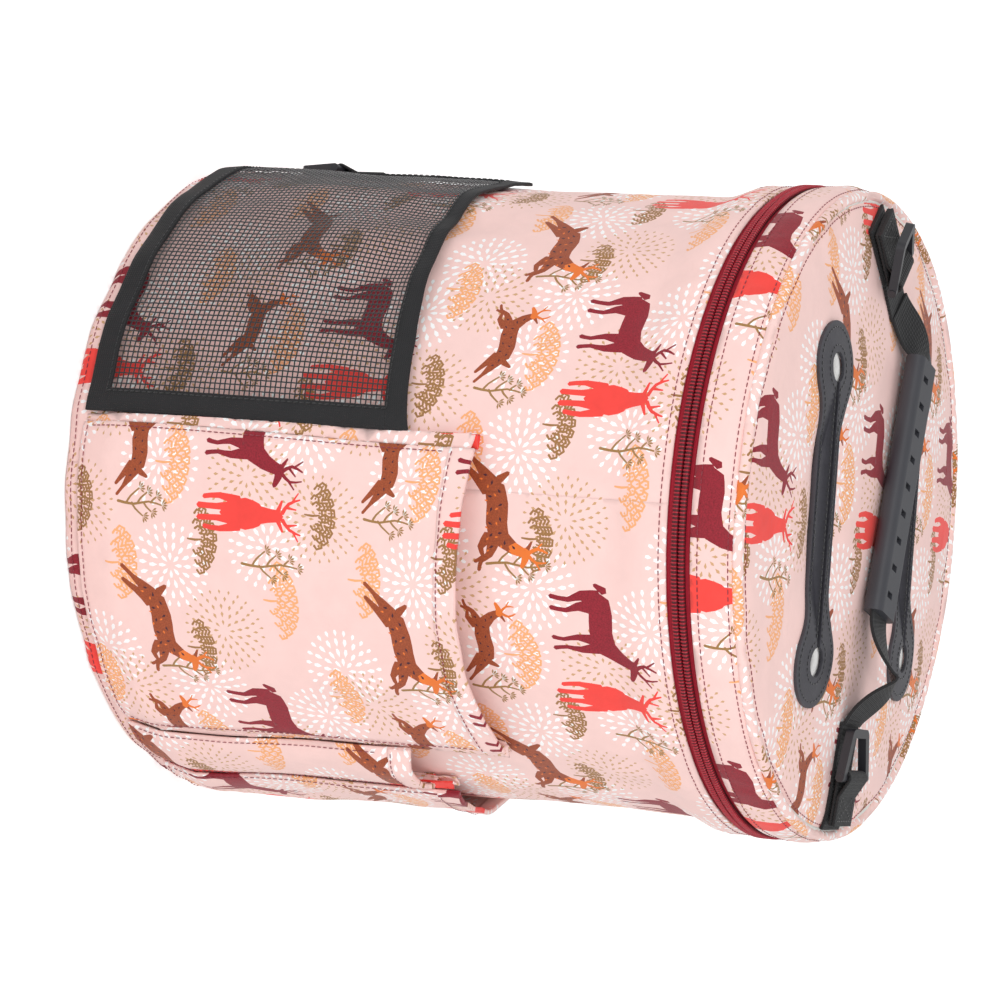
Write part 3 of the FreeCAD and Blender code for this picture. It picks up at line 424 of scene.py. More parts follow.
def thicken(piece, thickness, offset=-1.0):
    """Gives a sheet its thickness in mm, inwards unless the offset says otherwise."""
    modifier = piece.modifiers.new("thickness", "SOLIDIFY")
    modifier.thickness = thickness * MM
    modifier.offset = offset
    return piece


def printed_panel(name, body, width, height, place, shift=(0, 0), thickness=1.1, trim=None):
    """A panel cut from the printed cloth. place turns a point of the flat panel, in millimetres, into
    its place on the bag. trim cuts the flat panel further, before it is placed."""
    flat = bmesh.new()
    cuts = [((0, 0), (-1, 0)), ((width, 0), (1, 0)), ((0, 0), (0, -1)), ((0, height), (0, 1))]
    first_x, first_y = int(shift[0] // REPEAT_WIDTH), int(shift[1] // REPEAT_HEIGHT)
    for column in range(first_x, int((shift[0] + width) // REPEAT_WIDTH) + 1):
        for row in range(first_y, int((shift[1] + height) // REPEAT_HEIGHT) + 1):
            dx = column * REPEAT_WIDTH - shift[0]
            dy = row * REPEAT_HEIGHT - shift[1]
            corners = [flat.verts.new((p.x + dx, p.y + dy, 0)) for p in REPEAT_POINTS]
            for triangle, ink in zip(REPEAT_TRIANGLES, REPEAT_INKS):
                face = flat.faces.new([corners[i] for i in triangle])
                face.material_index = ink
    loose = [v for v in flat.verts if not v.link_faces]
    bmesh.ops.delete(flat, geom=loose, context="VERTS")
    for point, outward in cuts:
        everything = flat.verts[:] + flat.edges[:] + flat.faces[:]
        bmesh.ops.bisect_plane(flat, geom=everything, plane_co=(*point, 0), plane_no=(*outward, 0),
                               clear_outer=True, dist=0.001)
    if trim:
        trim(flat)
    bmesh.ops.remove_doubles(flat, verts=flat.verts[:], dist=0.01)
    bmesh.ops.triangulate(flat, faces=[f for f in flat.faces if len(f.verts) > 3])
    flat.verts.ensure_lookup_table()
    flat_places = [((v.co.x + shift[0]) * MM, (v.co.y + shift[1]) * MM) for v in flat.verts]
    placed = [Vector(place(v.co.x, v.co.y)) * MM for v in flat.verts]
    faces = [[v.index for v in f.verts] for f in flat.faces]
    inks = [f.material_index for f in flat.faces]
    flat.free()
    piece = new_piece(name, placed, faces, INKS, body, flat_places, inks)
    return thicken(piece, thickness)


# ------------------------------------------------------------------ threads

# The seams are sewn with dark red polyester thread, and the black parts with black thread. Each stitch
# is a short raised bead with a gap after it, and a tree of geometry nodes lays them along a path.
def thread(name, code):
    """Twisted polyester thread: smooth fibres with a soft sheen, mottled at 1 mm by the twist."""
    material, tree, shader = new_material(name)
    place = add(tree, "ShaderNodeTexCoord").outputs["Object"]
    tree.links.new(mottled(tree, place, code, 0.15, 1.11), shader.inputs["Base Color"])
    shader.inputs["Roughness"].default_value = 0.45
    shader.inputs["Sheen Weight"].default_value = 0.3
    return material


RED_THREAD = thread("sewing_thread_red", "#8c1b30")
BLACK_THREAD = thread("sewing_thread_black", "#141416")


def bead_tree():
    """One bead in the middle of every pitch along a path. A bead is as long as Length along the path,
    or across it with a Turn of a quarter, and stands out along the path's outward directions."""
    tree = bpy.data.node_groups.new("beads_along_a_path", "GeometryNodeTree")
    socket = tree.interface.new_socket
    socket("Path", in_out="INPUT", socket_type="NodeSocketGeometry")
    for size in ("Pitch", "Length", "Width", "Height", "Turn"):
        socket(size, in_out="INPUT", socket_type="NodeSocketFloat")
    socket("Material", in_out="INPUT", socket_type="NodeSocketMaterial")
    socket("Beads", in_out="OUTPUT", socket_type="NodeSocketGeometry")
    given = add(tree, "NodeGroupInput").outputs

    # A six-sided bead one unit long, whose two ends are drawn out to points.
    drum = add(tree, "GeometryNodeMeshCylinder",
               {"Vertices": 6, "Side Segments": 1, "Radius": 0.48, "Depth": 0.64},
               fill_type="TRIANGLE_FAN").outputs["Mesh"]
    place = add(tree, "GeometryNodeInputPosition").outputs["Position"]
    level = add(tree, "ShaderNodeVectorMath", {0: place, 1: (1, 1, 0)}, operation="MULTIPLY")
    reach = add(tree, "ShaderNodeVectorMath", {0: level.outputs["Vector"]}, operation="LENGTH")
    at_end = add(tree, "FunctionNodeCompare", {"A": reach.outputs["Value"], "B": 0.1}, operation="LESS_THAN")
    point = add(tree, "ShaderNodeVectorMath", {0: place, "Scale": 0.5 / 0.32}, operation="SCALE")
    bead = add(tree, "GeometryNodeSetPosition",
               {"Geometry": drum, "Selection": at_end.outputs["Result"], "Position": point.outputs["Vector"]})

    # How many fit, and where each one is along the path.
    curve = add(tree, "GeometryNodeMeshToCurve", {"Mesh": given["Path"]}).outputs["Curve"]
    run = add(tree, "GeometryNodeCurveLength", {"Curve": curve}).outputs["Length"]
    fits = add(tree, "ShaderNodeMath", {0: run, 1: given["Pitch"]}, operation="DIVIDE").outputs["Value"]
    count = add(tree, "ShaderNodeMath", {0: fits}, operation="ROUND").outputs["Value"]
    index = add(tree, "GeometryNodeInputIndex").outputs["Index"]
    middle = add(tree, "ShaderNodeMath", {0: index, 1: 0.5}, operation="ADD").outputs["Value"]
    reached = add(tree, "ShaderNodeMath", {0: middle, 1: given["Pitch"]}, operation="MULTIPLY")
    outward = add(tree, "GeometryNodeInputNamedAttribute", {"Name": "outward"}, data_type="FLOAT_VECTOR")
    spot = add(tree, "GeometryNodeSampleCurve",
               {"Curves": curve, "Value": outward.outputs["Attribute"], "Length": reached.outputs["Value"]},
               mode="LENGTH", data_type="FLOAT_VECTOR", use_all_curves=True).outputs
    spots = add(tree, "GeometryNodePoints", {"Count": count, "Position": spot["Position"]}).outputs["Points"]

    # The bead's own axes: its length, and the side that stands out.
    axis = add(tree, "ShaderNodeVectorRotate",
               {"Vector": spot["Tangent"], "Axis": spot["Value"], "Angle": given["Turn"]})
    turned = add(tree, "FunctionNodeAxesToRotation",
                 {"Primary Axis": axis.outputs["Vector"], "Secondary Axis": spot["Value"]},
                 primary_axis="Z", secondary_axis="Y").outputs["Rotation"]
    size = add(tree, "ShaderNodeCombineXYZ",
               {"X": given["Width"], "Y": given["Height"], "Z": given["Length"]})
    row = add(tree, "GeometryNodeInstanceOnPoints",
              {"Points": spots, "Instance": bead.outputs["Geometry"], "Rotation": turned,
               "Scale": size.outputs["Vector"]}).outputs["Instances"]
    real = add(tree, "GeometryNodeRealizeInstances", {"Geometry": row}).outputs["Geometry"]
    finished = add(tree, "GeometryNodeSetMaterial", {"Geometry": real, "Material": given["Material"]})
    add(tree, "NodeGroupOutput", {"Beads": finished.outputs["Geometry"]})
    return tree


BEAD_TREE = bead_tree()


def bake(piece):
    """Applies a piece's modifiers to its mesh."""
    mesh = bpy.data.meshes.new_from_object(piece.evaluated_get(bpy.context.evaluated_depsgraph_get()))
    piece.modifiers.clear()
    piece.data = mesh
    return piece


def bead_row(name, body, paths, material, pitch, size, turn=0.0):
    """Beads of a size (length, width, height) at a pitch, in mm, along paths of (point, outward) pairs."""
    points, outwards, links = [], [], []
    for path in paths:
        links += [(len(points) + i, len(points) + i + 1) for i in range(len(path) - 1)]
        points += [tuple(p) for p, _ in path]
        outwards += [c for _, out in path for c in out]
    mesh = bpy.data.meshes.new(name)
    mesh.from_pydata(points, links, [])
    mesh.attributes.new("outward", "FLOAT_VECTOR", "POINT").data.foreach_set("vector", outwards)
    row = bpy.data.objects.new(name, mesh)
    bpy.context.scene.collection.objects.link(row)
    modifier = row.modifiers.new("beads", "NODES")
    modifier.node_group = BEAD_TREE
    values = {"Pitch": pitch * MM, "Length": size[0] * MM, "Width": size[1] * MM, "Height": size[2] * MM,
              "Turn": turn, "Material": material}
    for socket in BEAD_TREE.interface.items_tree:
        if socket.name in values:
            modifier[socket.identifier] = values[socket.name]
    bake(row)
    row.data.materials.clear()
    row.data.materials.append(material)
    row.data.polygons.foreach_set("material_index", [0] * len(row.data.polygons))
    row.data.polygons.foreach_set("use_smooth", [True] * len(row.data.polygons))
    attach(row, body)
    return row


def seam(name, body, path, closed=False, material=RED_THREAD, pitch=3.3, size=(2.6, 0.55, 0.45)):
    """A row of stitches, 2.6 mm long in every 3.3 mm unless other sizes are given."""
    return bead_row(name, body, [path + path[:1] if closed else path], material, pitch, size)


# ------------------------------------------------------------------ the wall

# The wall is a tube of printed cloth over foam and lining. It stands on the base, pulls in a little below
# the zip and flares towards the bottom. Its joining seam is on the left, beside the net pocket.
wall_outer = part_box("body_shell")[1]
WALL_RADIUS = wall_outer[0] / MM
WALL_BOTTOM = 0.4
WALL_TOP = wall_outer[2] / MM
WALL_LAYERS = 6.6       # cloth, foam and lining together
CLOTH_THICKNESS = 1.3


def wall_swell(angle, z):
    """How far the outside of the wall stands from its plain radius, with its waist and its folds."""
    share = z / WALL_TOP
    x, y = math.cos(angle), math.sin(angle)
    flare = (4.2 + 1.4 * x) * (1 - share) ** 3
    step = min(max((WALL_TOP - 9 - z) / 26, 0.0), 1.0)
    waist = -7.2 * step * step * (3 - 2 * step) * (0.3 + 0.7 * share)
    long_folds = 2.0 * noise.noise(Vector((x * 5.5, y * 5.5, z / 150)))
    slant = 1.3 * noise.noise(Vector((x * 9 + z / 90, y * 9, z / 60)))
    ends = min(1.0, (WALL_TOP - z) / 14.0)
    pucker = 0.35 * math.exp(-abs(z - (WALL_TOP - 6)) / 6) * noise.noise(Vector((x * 40, y * 40, 3.1)))
    rounded = -max(0.0, 7 - z) ** 2 / 9.0
    return flare + waist + (long_folds + slant) * ends + pucker + rounded


def on_wall(angle, z, lift=0.0):
    """Place on the outside of the wall, in millimetres."""
    radius = WALL_RADIUS + wall_swell(angle, z) + lift
    return (radius * math.cos(angle), radius * math.sin(angle), z)


def wall_part(start):
    return lambda s, t: on_wall(math.radians(start) + s / WALL_RADIUS, WALL_BOTTOM + t)


# The print runs on from piece to piece, and only jumps at the joining seam.
quarter_turn = math.pi * WALL_RADIUS / 2
for number, name in enumerate(("front_left", "front_right", "back_right", "back_left")):
    piece = printed_panel(f"wall_cloth_{name}", "bag", quarter_turn, WALL_TOP - WALL_BOTTOM,
                          wall_part(-180 + 90 * number), shift=(11 + number * quarter_turn, 84))
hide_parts("body_shell", "body_foam")


def ring_path(height, lift, start=0.0, sweep=360.0, step=2.0, swell=None):
    """Path round the wall at a height, with its outward directions."""
    count = int(sweep / step)
    path = []
    for index in range(count + 1):
        angle = math.radians(start + sweep * index / count)
        out = Vector((math.cos(angle), math.sin(angle), 0))
        path.append((Vector((swell or on_wall)(angle, height, lift)) * MM, out))
    return path


# Stitching holds the zip's tape at the top edge and the base at the bottom edge.
seam("wall_top_stitching", "bag", ring_path(WALL_TOP - 3.6, 0.2))
seam("wall_bottom_stitching", "bag", ring_path(6.5, 0.2))


def tube_sheet(name, body, radius_at, low, high, material, thickness, start=0.0, sweep=360.0, rows=24):
    """A plain tube, or part of one, of sheet material with its flat pattern."""
    columns = round(sweep / 3)
    vertices, flat, faces = [], [], []
    for row in range(rows + 1):
        z = low + (high - low) * row / rows
        for column in range(columns + 1):
            angle = math.radians(start + sweep * column / columns)
            radius = radius_at(angle, z)
            vertices.append(Vector((radius * math.cos(angle), radius * math.sin(angle), z)) * MM)
            flat.append((angle * radius * MM, z * MM))
    for row in range(rows):
        for column in range(columns):
            a = row * (columns + 1) + column
            faces.append((a, a + 1, a + columns + 2, a + columns + 1))
    piece = new_piece(name, vertices, faces, [material], body, flat)
    return thicken(piece, thickness)


# The lining is plain grey-beige polyester over the foam; it shows when the lid is open.
LINING = cloth("lining_cloth_plain", "#b9b0ab", 0.05)
FOAM = cloth("foam_white", "#f1f0ee", 0.04)
lining = tube_sheet("wall_lining", "bag", lambda a, z: WALL_RADIUS + wall_swell(a, z) - CLOTH_THICKNESS,
                    6.0, WALL_TOP - 0.5, LINING, WALL_LAYERS - CLOTH_THICKNESS)
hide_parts("body_lining")


# ------------------------------------------------------------------ the base

# The underside is a disc of the plain pink cloth, sewn into the wall's bottom seam. The floor inside is
# plain lining over a stiff board that isn't seen.
def disc(name, body, radius_at, height_at, material, thickness, rings=14, columns=120):
    """A round sheet whose edge and height may vary with the direction."""
    vertices, flat, faces = [Vector((0, 0, height_at(0, 0))) * MM], [(0, 0)], []
    for ring in range(1, rings + 1):
        for column in range(columns):
            angle = 2 * math.pi * column / columns
            radius = radius_at(angle) * ring / rings
            x, y = radius * math.cos(angle), radius * math.sin(angle)
            vertices.append(Vector((x, y, height_at(x, y))) * MM)
            flat.append((x * MM, y * MM))
    for column in range(columns):
        after = (column + 1) % columns
        faces.append((0, 1 + column, 1 + after))
        for ring in range(rings - 1):
            a, b = 1 + ring * columns, 1 + (ring + 1) * columns
            faces.append((a + column, b + column, b + after, a + after))
    piece = new_piece(name, vertices, faces, [material], body, flat)
    thicken(piece, thickness)
    2 * radius_at(0) * MM
    2 * radius_at(0) * MM
    math.pi * (radius_at(0) * MM) ** 2
    return piece


def base_edge(angle):
    return WALL_RADIUS + wall_swell(angle, 0.4) - 0.4


base_cloth = disc("base_cloth_underside", "bag", base_edge, lambda x, y: 1.5, INKS[GROUND], 1.3)
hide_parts("base_panel")
base_inside = disc("base_lining_floor", "bag", lambda angle: WALL_RADIUS - 7.4,
                   lambda x, y: 6.7 + 0.5 * noise.noise(Vector((x / 60, y / 60, 7.0))), LINING, 0.9)
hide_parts("base_lining")


# ------------------------------------------------------------------ pockets

# Each cloth pocket is a panel with a folded hem, joined to the wall by pleated sides, so that it opens
# like an accordion. The panel is sewn into the bottom seam, and its mouth sags a little in the middle.
HEM = 12.0
PLEAT_WIDTH = 26.0


def pocket(kind, start, sweep, low, high, room, shift, sag, opening=3.0, droop=0.0):
    """One pocket. start and sweep are degrees round the drum, and the rest is in millimetres: its
    bottom and top, how far it stands off, which part of the print it shows, how much its mouth sags
    and opens, and how much its far end droops."""
    width = math.radians(sweep) * (WALL_RADIUS + room)

    def place(s, t, lift=0.0):
        u, v = s / width, t / (high - low)
        middle = math.sin(math.pi * min(max(u, 0), 1))
        z = low + t - (sag * middle + droop * u) * max(v, 0) ** 3
        angle = math.radians(start + sweep * u) + 0.006 * math.sin(v * 5 + start) * (1 - middle)
        side = min(s, width - s)
        stand = room * min(1.0, 0.22 + t / 26) * (1 - 0.05 * droop * u) + opening * middle * v ** 2
        edge = -1.6 * math.exp(-max(side, 0) / 3.5)
        folds = 2.2 * noise.noise(Vector((s / 34, t / 70, start))) * min(1, t / 30)
        folds += 1.1 * noise.noise(Vector(((s + t * 0.6) / 16, t / 45, start + 4)))
        radius = WALL_RADIUS + wall_swell(angle, z) + 1.4 + stand + edge + folds * (0.4 + 0.6 * middle) + lift
        return (radius * math.cos(angle), radius * math.sin(angle), z)

    panel = printed_panel(f"{kind}_pocket_cloth", "bag", width, high - low, place, shift)
    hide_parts(f"{kind}_pocket_panel")
    band = printed_panel(f"{kind}_pocket_hem_band", "bag", width, HEM,
                         lambda s, t: place(s, high - low - HEM + t, 0.9),
                         (shift[0], shift[1] + high - low - HEM), 2.4)
    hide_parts(f"{kind}_pocket_hem")

    def line(t, lift=0.5):
        """Path across the panel at a height on it."""
        steps = max(6, int(width / 4))
        return [(Vector(place(1.5 + (width - 3) * i / steps, t, lift)) * MM,
                 Vector((math.cos(math.radians(start + sweep * i / steps)),
                         math.sin(math.radians(start + sweep * i / steps)), 0))) for i in range(steps + 1)]

    seam(f"{kind}_pocket_hem_stitching", "bag", line(high - low - HEM + 1.6, 1.3))
    seam(f"{kind}_pocket_bottom_stitching", "bag", line(3.0))
    for side, edge_s in (("left", 2.2), ("right", width - 2.2)):
        angle = math.radians(start + (sweep if side == "right" else 0))
        out = Vector((math.cos(angle), math.sin(angle), 0))
        rise = [(Vector(place(edge_s, t, 0.5)) * MM, out) for t in range(6, int(high - low - HEM), 8)]
        seam(f"{kind}_pocket_{side}_stitching", "bag", rise)

    first = None
    for side, sign, edge_s in (("left", -1, 0.0), ("right", 1, width)):
        def pleat(s, t, sign=sign, edge_s=edge_s):
            """The zigzag side between the wall and the panel's edge."""
            share = s / PLEAT_WIDTH
            if sign > 0:
                share = 1 - share
            v = t / (high - low - 4)
            base_angle = math.atan2(*place(edge_s, t)[1::-1])
            z = low + 1 + t + 2.5 * math.sin(math.pi * share) * v
            panel_radius = math.hypot(*place(edge_s, t)[:2]) - 1.3
            wall_radius = WALL_RADIUS + wall_swell(base_angle, z) + 0.3
            zigzag = 0.5 - 0.5 * math.cos(share * 4 * math.pi)
            reach = sign * (1.0 + (3.2 + 3.6 * v) * zigzag) * (1 if share < 0.97 else 0.4)
            radius = wall_radius + (panel_radius - wall_radius) * share
            angle = base_angle + reach / radius
            return (radius * math.cos(angle), radius * math.sin(angle), z)

        strip = printed_panel(f"{kind}_pocket_pleat_{side}", "bag", PLEAT_WIDTH, high - low - 4, pleat,
                              (shift[0] + 31 * sign + 60, shift[1] + 17), 0.8)
        first = first or strip
    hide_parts(f"{kind}_pocket_gusset")


pocket("front", -97, 57, 12, 224, 8.5, (22, 4), 6.0)
pocket("tool", -38, 13, 12, 172, 7.5, (96, 40), 2.0, 4.0)
pocket("side", -23, 38, 12, 182, 7.5, (10, 60), 4.0, 2.0, 14.0)


# ------------------------------------------------------------------ the mesh pocket

# A black net pocket, bound all round with 12 mm grosgrain tape. The net is knitted with square holes
# at a 2.75 mm pitch, and it slackens below its mouth.
NET = thread("net_thread_black", "#1b1b1f")
TAPE = cloth("grosgrain_tape_black", "#1f1f21", 0.1, 1.2, 0.35, 0.03)
MESH_START, MESH_SWEEP = 180.0, 81.0        # degrees round the drum
MESH_LOW, MESH_HIGH = 13.0, 187.0
TAPE_WIDTH = 12.0
MESH_WIDTH = math.radians(MESH_SWEEP) * (WALL_RADIUS + 5)


def on_mesh(s, t, lift=0.0):
    """Place on the net: s across from its far edge, t up from its bottom seam."""
    u, v = s / MESH_WIDTH, t / (MESH_HIGH - MESH_LOW)
    angle = math.radians(MESH_START + MESH_SWEEP * u)
    middle = math.sin(math.pi * min(max(u, 0), 1)) ** 0.7
    z = MESH_LOW + t - (5.0 * middle + 17.0 * (1 - u)) * max(v, 0) ** 4
    belly = 1.6 + 1.6 * u + 6.0 * middle * (0.4 + 0.6 * u) * math.sin(math.pi * min(max(v, 0), 1)) ** 0.6
    folds = 3.0 * middle * noise.noise(Vector(((s + t * 0.5) / 34, (t - s * 0.3) / 50, 9.2)))
    radius = WALL_RADIUS + wall_swell(angle, z) * 0.9 + belly + folds + lift
    return Vector((radius * math.cos(angle), radius * math.sin(angle), z)) * MM


def net(name, width, height, margin, pitch, half):
    """A knitted net: square knots joined by threads, with open holes between. It is one sheet that
    slackens and folds, so its knots are placed one by one."""
    across, up = round((width - 2 * margin) / pitch), round((height - 2 * margin) / pitch)
    dx, dy = (width - 2 * margin) / across, (height - 2 * margin) / up
    vertices, flat, faces = [], [], []
    for i in range(across + 1):
        for j in range(up + 1):
            for a, b in ((-half, -half), (half, -half), (half, half), (-half, half)):
                s, t = margin + i * dx + a, margin + j * dy + b
                vertices.append(on_mesh(s, t, 0.25 * ((i + j) % 2)))
                flat.append((s * MM, t * MM))
    rows = up + 1
    for i in range(across + 1):
        for j in range(up + 1):
            k = 4 * (i * rows + j)
            faces.append((k, k + 1, k + 2, k + 3))
            if i < across:
                right = k + 4 * rows
                faces.append((k + 1, right, right + 3, k + 2))
            if j < up:
                faces.append((k + 3, k + 2, k + 5, k + 4))
    return thicken(new_piece(name, vertices, faces, [NET], "bag", flat), 0.36, 0.0)


def soften(piece, width, segments=2):
    """Rounds a piece's edges."""
    modifier = piece.modifiers.new("soft_edges", "BEVEL")
    modifier.width = width * MM
    modifier.segments = segments
    modifier.limit_method = "ANGLE"
    modifier.angle_limit = math.radians(35)
    modifier.harden_normals = False
    return piece


def tape_strip(name, s_range, t_range, lift=1.3, thickness=1.7):
    """Binding tape folded over the net's edge, with its pattern running along it."""
    columns = max(3, round((s_range[1] - s_range[0]) / 3.4))
    rows = max(3, round((t_range[1] - t_range[0]) / 3.4))
    vertices, flat, faces = [], [], []
    for i in range(columns + 1):
        for j in range(rows + 1):
            s = s_range[0] + (s_range[1] - s_range[0]) * i / columns
            t = t_range[0] + (t_range[1] - t_range[0]) * j / rows
            crown = lift + 0.25 * noise.noise(Vector((s / 9, t / 9, 2.0)))
            vertices.append(on_mesh(s, t, crown))
            flat.append((s * MM, t * MM))
    for i in range(columns):
        for j in range(rows):
            a = i * (rows + 1) + j
            faces.append((a, a + rows + 1, a + rows + 2, a + 1))
    piece = thicken(new_piece(name, vertices, faces, [TAPE], "bag", flat), thickness)
    soften(piece, 0.4)
    return piece


mesh_height = MESH_HIGH - MESH_LOW
mesh_net = net("mesh_pocket_net", MESH_WIDTH, mesh_height, margin=9.0, pitch=2.75, half=0.3)
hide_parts("mesh_panel")
inner_low, inner_high = TAPE_WIDTH - 0.4, mesh_height - TAPE_WIDTH + 0.4
for name, s_range, t_range in (
        ("left", (0, TAPE_WIDTH), (inner_low, inner_high)),
        ("right", (MESH_WIDTH - TAPE_WIDTH, MESH_WIDTH), (inner_low, inner_high)),
        ("bottom", (0, MESH_WIDTH), (0, TAPE_WIDTH)),
        ("top", (0, MESH_WIDTH), (mesh_height - TAPE_WIDTH, mesh_height))):
    binding = tape_strip(f"mesh_binding_tape_{name}", s_range, t_range)
    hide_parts(f"mesh_binding_{name}")


def mesh_line(s_range, t_range, steps=60):
    """Path for the stitches on the tape."""
    path = []
    for i in range(steps + 1):
        s = s_range[0] + (s_range[1] - s_range[0]) * i / steps
        t = t_range[0] + (t_range[1] - t_range[0]) * i / steps
        angle = math.radians(MESH_START + MESH_SWEEP * s / MESH_WIDTH)
        path.append((on_mesh(s, t, 1.45), Vector((math.cos(angle), math.sin(angle), 0))))
    return path


inset = TAPE_WIDTH - 1.6
for name, s_range, t_range in (
        ("left", (inset, inset), (inset, mesh_height - inset)),
        ("right", (MESH_WIDTH - inset, MESH_WIDTH - inset), (inset, mesh_height - inset)),
        ("bottom", (inset, MESH_WIDTH - inset), (inset, inset)),
        ("top", (inset, MESH_WIDTH - inset), (mesh_height - inset, mesh_height - inset))):
    seam(f"mesh_{name}_stitching", "bag", mesh_line(s_range, t_range), material=BLACK_THREAD)


# ------------------------------------------------------------------ the zip

# A crimson nylon coil zip runs round the drum from one side of the cloth hinge to the other. Each half
# has a moulded coil, seen as a row of ribs, sewn to a woven tape.
def plastic(name, code, roughness=0.42, texture=0.25):
    """Moulded nylon or polypropylene: a dull gloss broken by a fine spark-eroded grain 0.5 mm across."""
    material, tree, shader = new_material(name)
    place = add(tree, "ShaderNodeTexCoord").outputs["Object"]
    tree.links.new(mottled(tree, place, code, 0.06, 16.7), shader.inputs["Base Color"])
    speck = add(tree, "ShaderNodeTexNoise", {"Vector": place, "Scale": grain(0.526), "Detail": 2.0})
    bump = add(tree, "ShaderNodeBump",
               {"Height": speck.outputs["Fac"], "Distance": 0.12 * MM, "Strength": texture})
    tree.links.new(bump.outputs["Normal"], shader.inputs["Normal"])
    shader.inputs["Roughness"].default_value = roughness
    return material


ZIP_START, ZIP_SWEEP = 110.0, 320.0         # degrees round the drum
ZIP_RADIUS = 158.4
ZIP_TAPE = cloth("zip_tape_crimson", "#a8142c", 0.08, 0.8, 0.12, 0.05)
for half, body, low, high in (("lower", "bag", 318.5, 326.3), ("upper", "lid", 328.7, 337.0)):
    tape = tube_sheet(f"zip_{half}_tape", body, lambda a, z: ZIP_RADIUS, low, high, ZIP_TAPE, 0.8,
                      ZIP_START, ZIP_SWEEP, 4)
    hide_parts(f"zip_tape_{half}")

# The coil's core is coloured with painted shade: it is dark because it is seen only in the gaps between the
# ribs, where shade falls.
COIL = plastic("zip_coil_crimson", "#b3172e", 0.3, 0.1)
COIL_CORE_PAINTED_SHADE = plastic("zip_coil_shadow", "#4e0813", 0.6, 0.1)
COIL_DEPTH = 1.6
RIB_PITCH, RIB_SIZE, RIB_LIFT = 1.758, (3.5, 0.95, 3.0), 0.75


def on_coil(angle, z, lift):
    return ((COIL_RADIUS + lift) * math.cos(angle), (COIL_RADIUS + lift) * math.sin(angle), z)


for half, body in (("lower", "bag"), ("upper", "lid")):
    coil_low, coil_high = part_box(f"zip_coil_{half}")
    COIL_RADIUS = coil_high[0] / MM - COIL_DEPTH
    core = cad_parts[f"zip_coil_{half}"]
    core.data.materials.clear()
    # The core gets the dark painted-shade plastic, not the crimson of the ribs.
    core.data.materials.append(COIL_CORE_PAINTED_SHADE)
    path = ring_path(coil_low[2] / MM + COIL_DEPTH, RIB_LIFT, ZIP_START, ZIP_SWEEP, swell=on_coil)
    bead_row(f"zip_coil_ribs_{half}", body, [path], COIL, RIB_PITCH, RIB_SIZE, math.radians(90))

# The slider is die-cast metal under crimson enamel: a coloured gloss with some of the metal's shine.
ENAMEL = plastic("slider_enamel_crimson", "#8e1029", 0.25, 0.08)
ENAMEL.node_tree.nodes["Principled BSDF"].inputs["Metallic"].default_value = 0.55


def dress(node, material, width=0.4):
    """Gives a rigid CAD piece its material and rounds its edges."""
    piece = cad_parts[node]
    piece.data.materials.clear()
    piece.data.materials.append(material)
    if width:
        soften(piece, width)
    return piece


for node in ("zip_slider", "zip_slider_back", "zip_pull"):
    dress(node, ENAMEL, 0.35)

# The lid turns on a strip of the plain pink cloth at the back, sewn in where the zip stops. It bows out
# a little.
HINGE_LOW, HINGE_HIGH = 318.6, 336.6
HINGE_START, HINGE_SWEEP = 69.0, 42.0


def hinge_radius(angle, z):
    return 157.6 + 3.0 * math.sin(math.pi * (z - HINGE_LOW) / (HINGE_HIGH - HINGE_LOW))


hinge = bake(tube_sheet("hinge_cloth", None, hinge_radius, HINGE_LOW, HINGE_HIGH, INKS[GROUND], 1.0,
                        HINGE_START, HINGE_SWEEP, 30))
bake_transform(hinge)
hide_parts("hinge_strip_lower", "hinge_strip_upper")


# ------------------------------------------------------------------ the lid

# The lid is a shallow padded dome. Its printed top and side band meet in a rolled seam on the rim, and
# two slots through its foam are bound with leather. It sags a little along the slots.
LID_EDGE = 155.6
RIM_HEIGHT = 357.0
DOME_RISE = 9.0
RIM_RADIUS = 158.0
DOME_RADIUS = (RIM_RADIUS ** 2 + DOME_RISE ** 2) / (2 * DOME_RISE)
SLOT_Y, SLOT_X, HOLE = 65.0, 70.0, 7.5      # the slots' middles, their holes' middles and radius


def lid_surface(x, y, lift=0.0):
    """Place on the lid's outer cloth, in millimetres."""
    reach = math.hypot(x, y)
    dome = RIM_HEIGHT + DOME_RISE - DOME_RADIUS + math.sqrt(DOME_RADIUS ** 2 - min(reach, RIM_RADIUS) ** 2)
    inner = max(0.0, 1 - (reach / 156) ** 4)
    slot = math.exp(-((abs(y) - SLOT_Y) / 20) ** 2) * math.exp(-(x / 46) ** 4)
    ends = math.exp(-((abs(y) - SLOT_Y) / 22) ** 2) * math.exp(-((abs(x) - 72) / 24) ** 2)
    sag = -6.0 * slot + 1.2 * ends
    waves = noise.noise(Vector((x / 46, y / 46, 2.7))) + 0.45 * noise.noise(Vector((x / 19, y / 19, 8.1)))
    edge = 1.1 * math.exp(-abs(reach - 150) / 6) * noise.noise(Vector((x / 13, y / 13, 4.4)))
    tuck = -1.5 * min(max((reach - 148) / 6, 0.0), 1.0) ** 2
    return (x, y, dome - 0.3 + (sag + waves - 0.6) * inner + edge + tuck + lift)


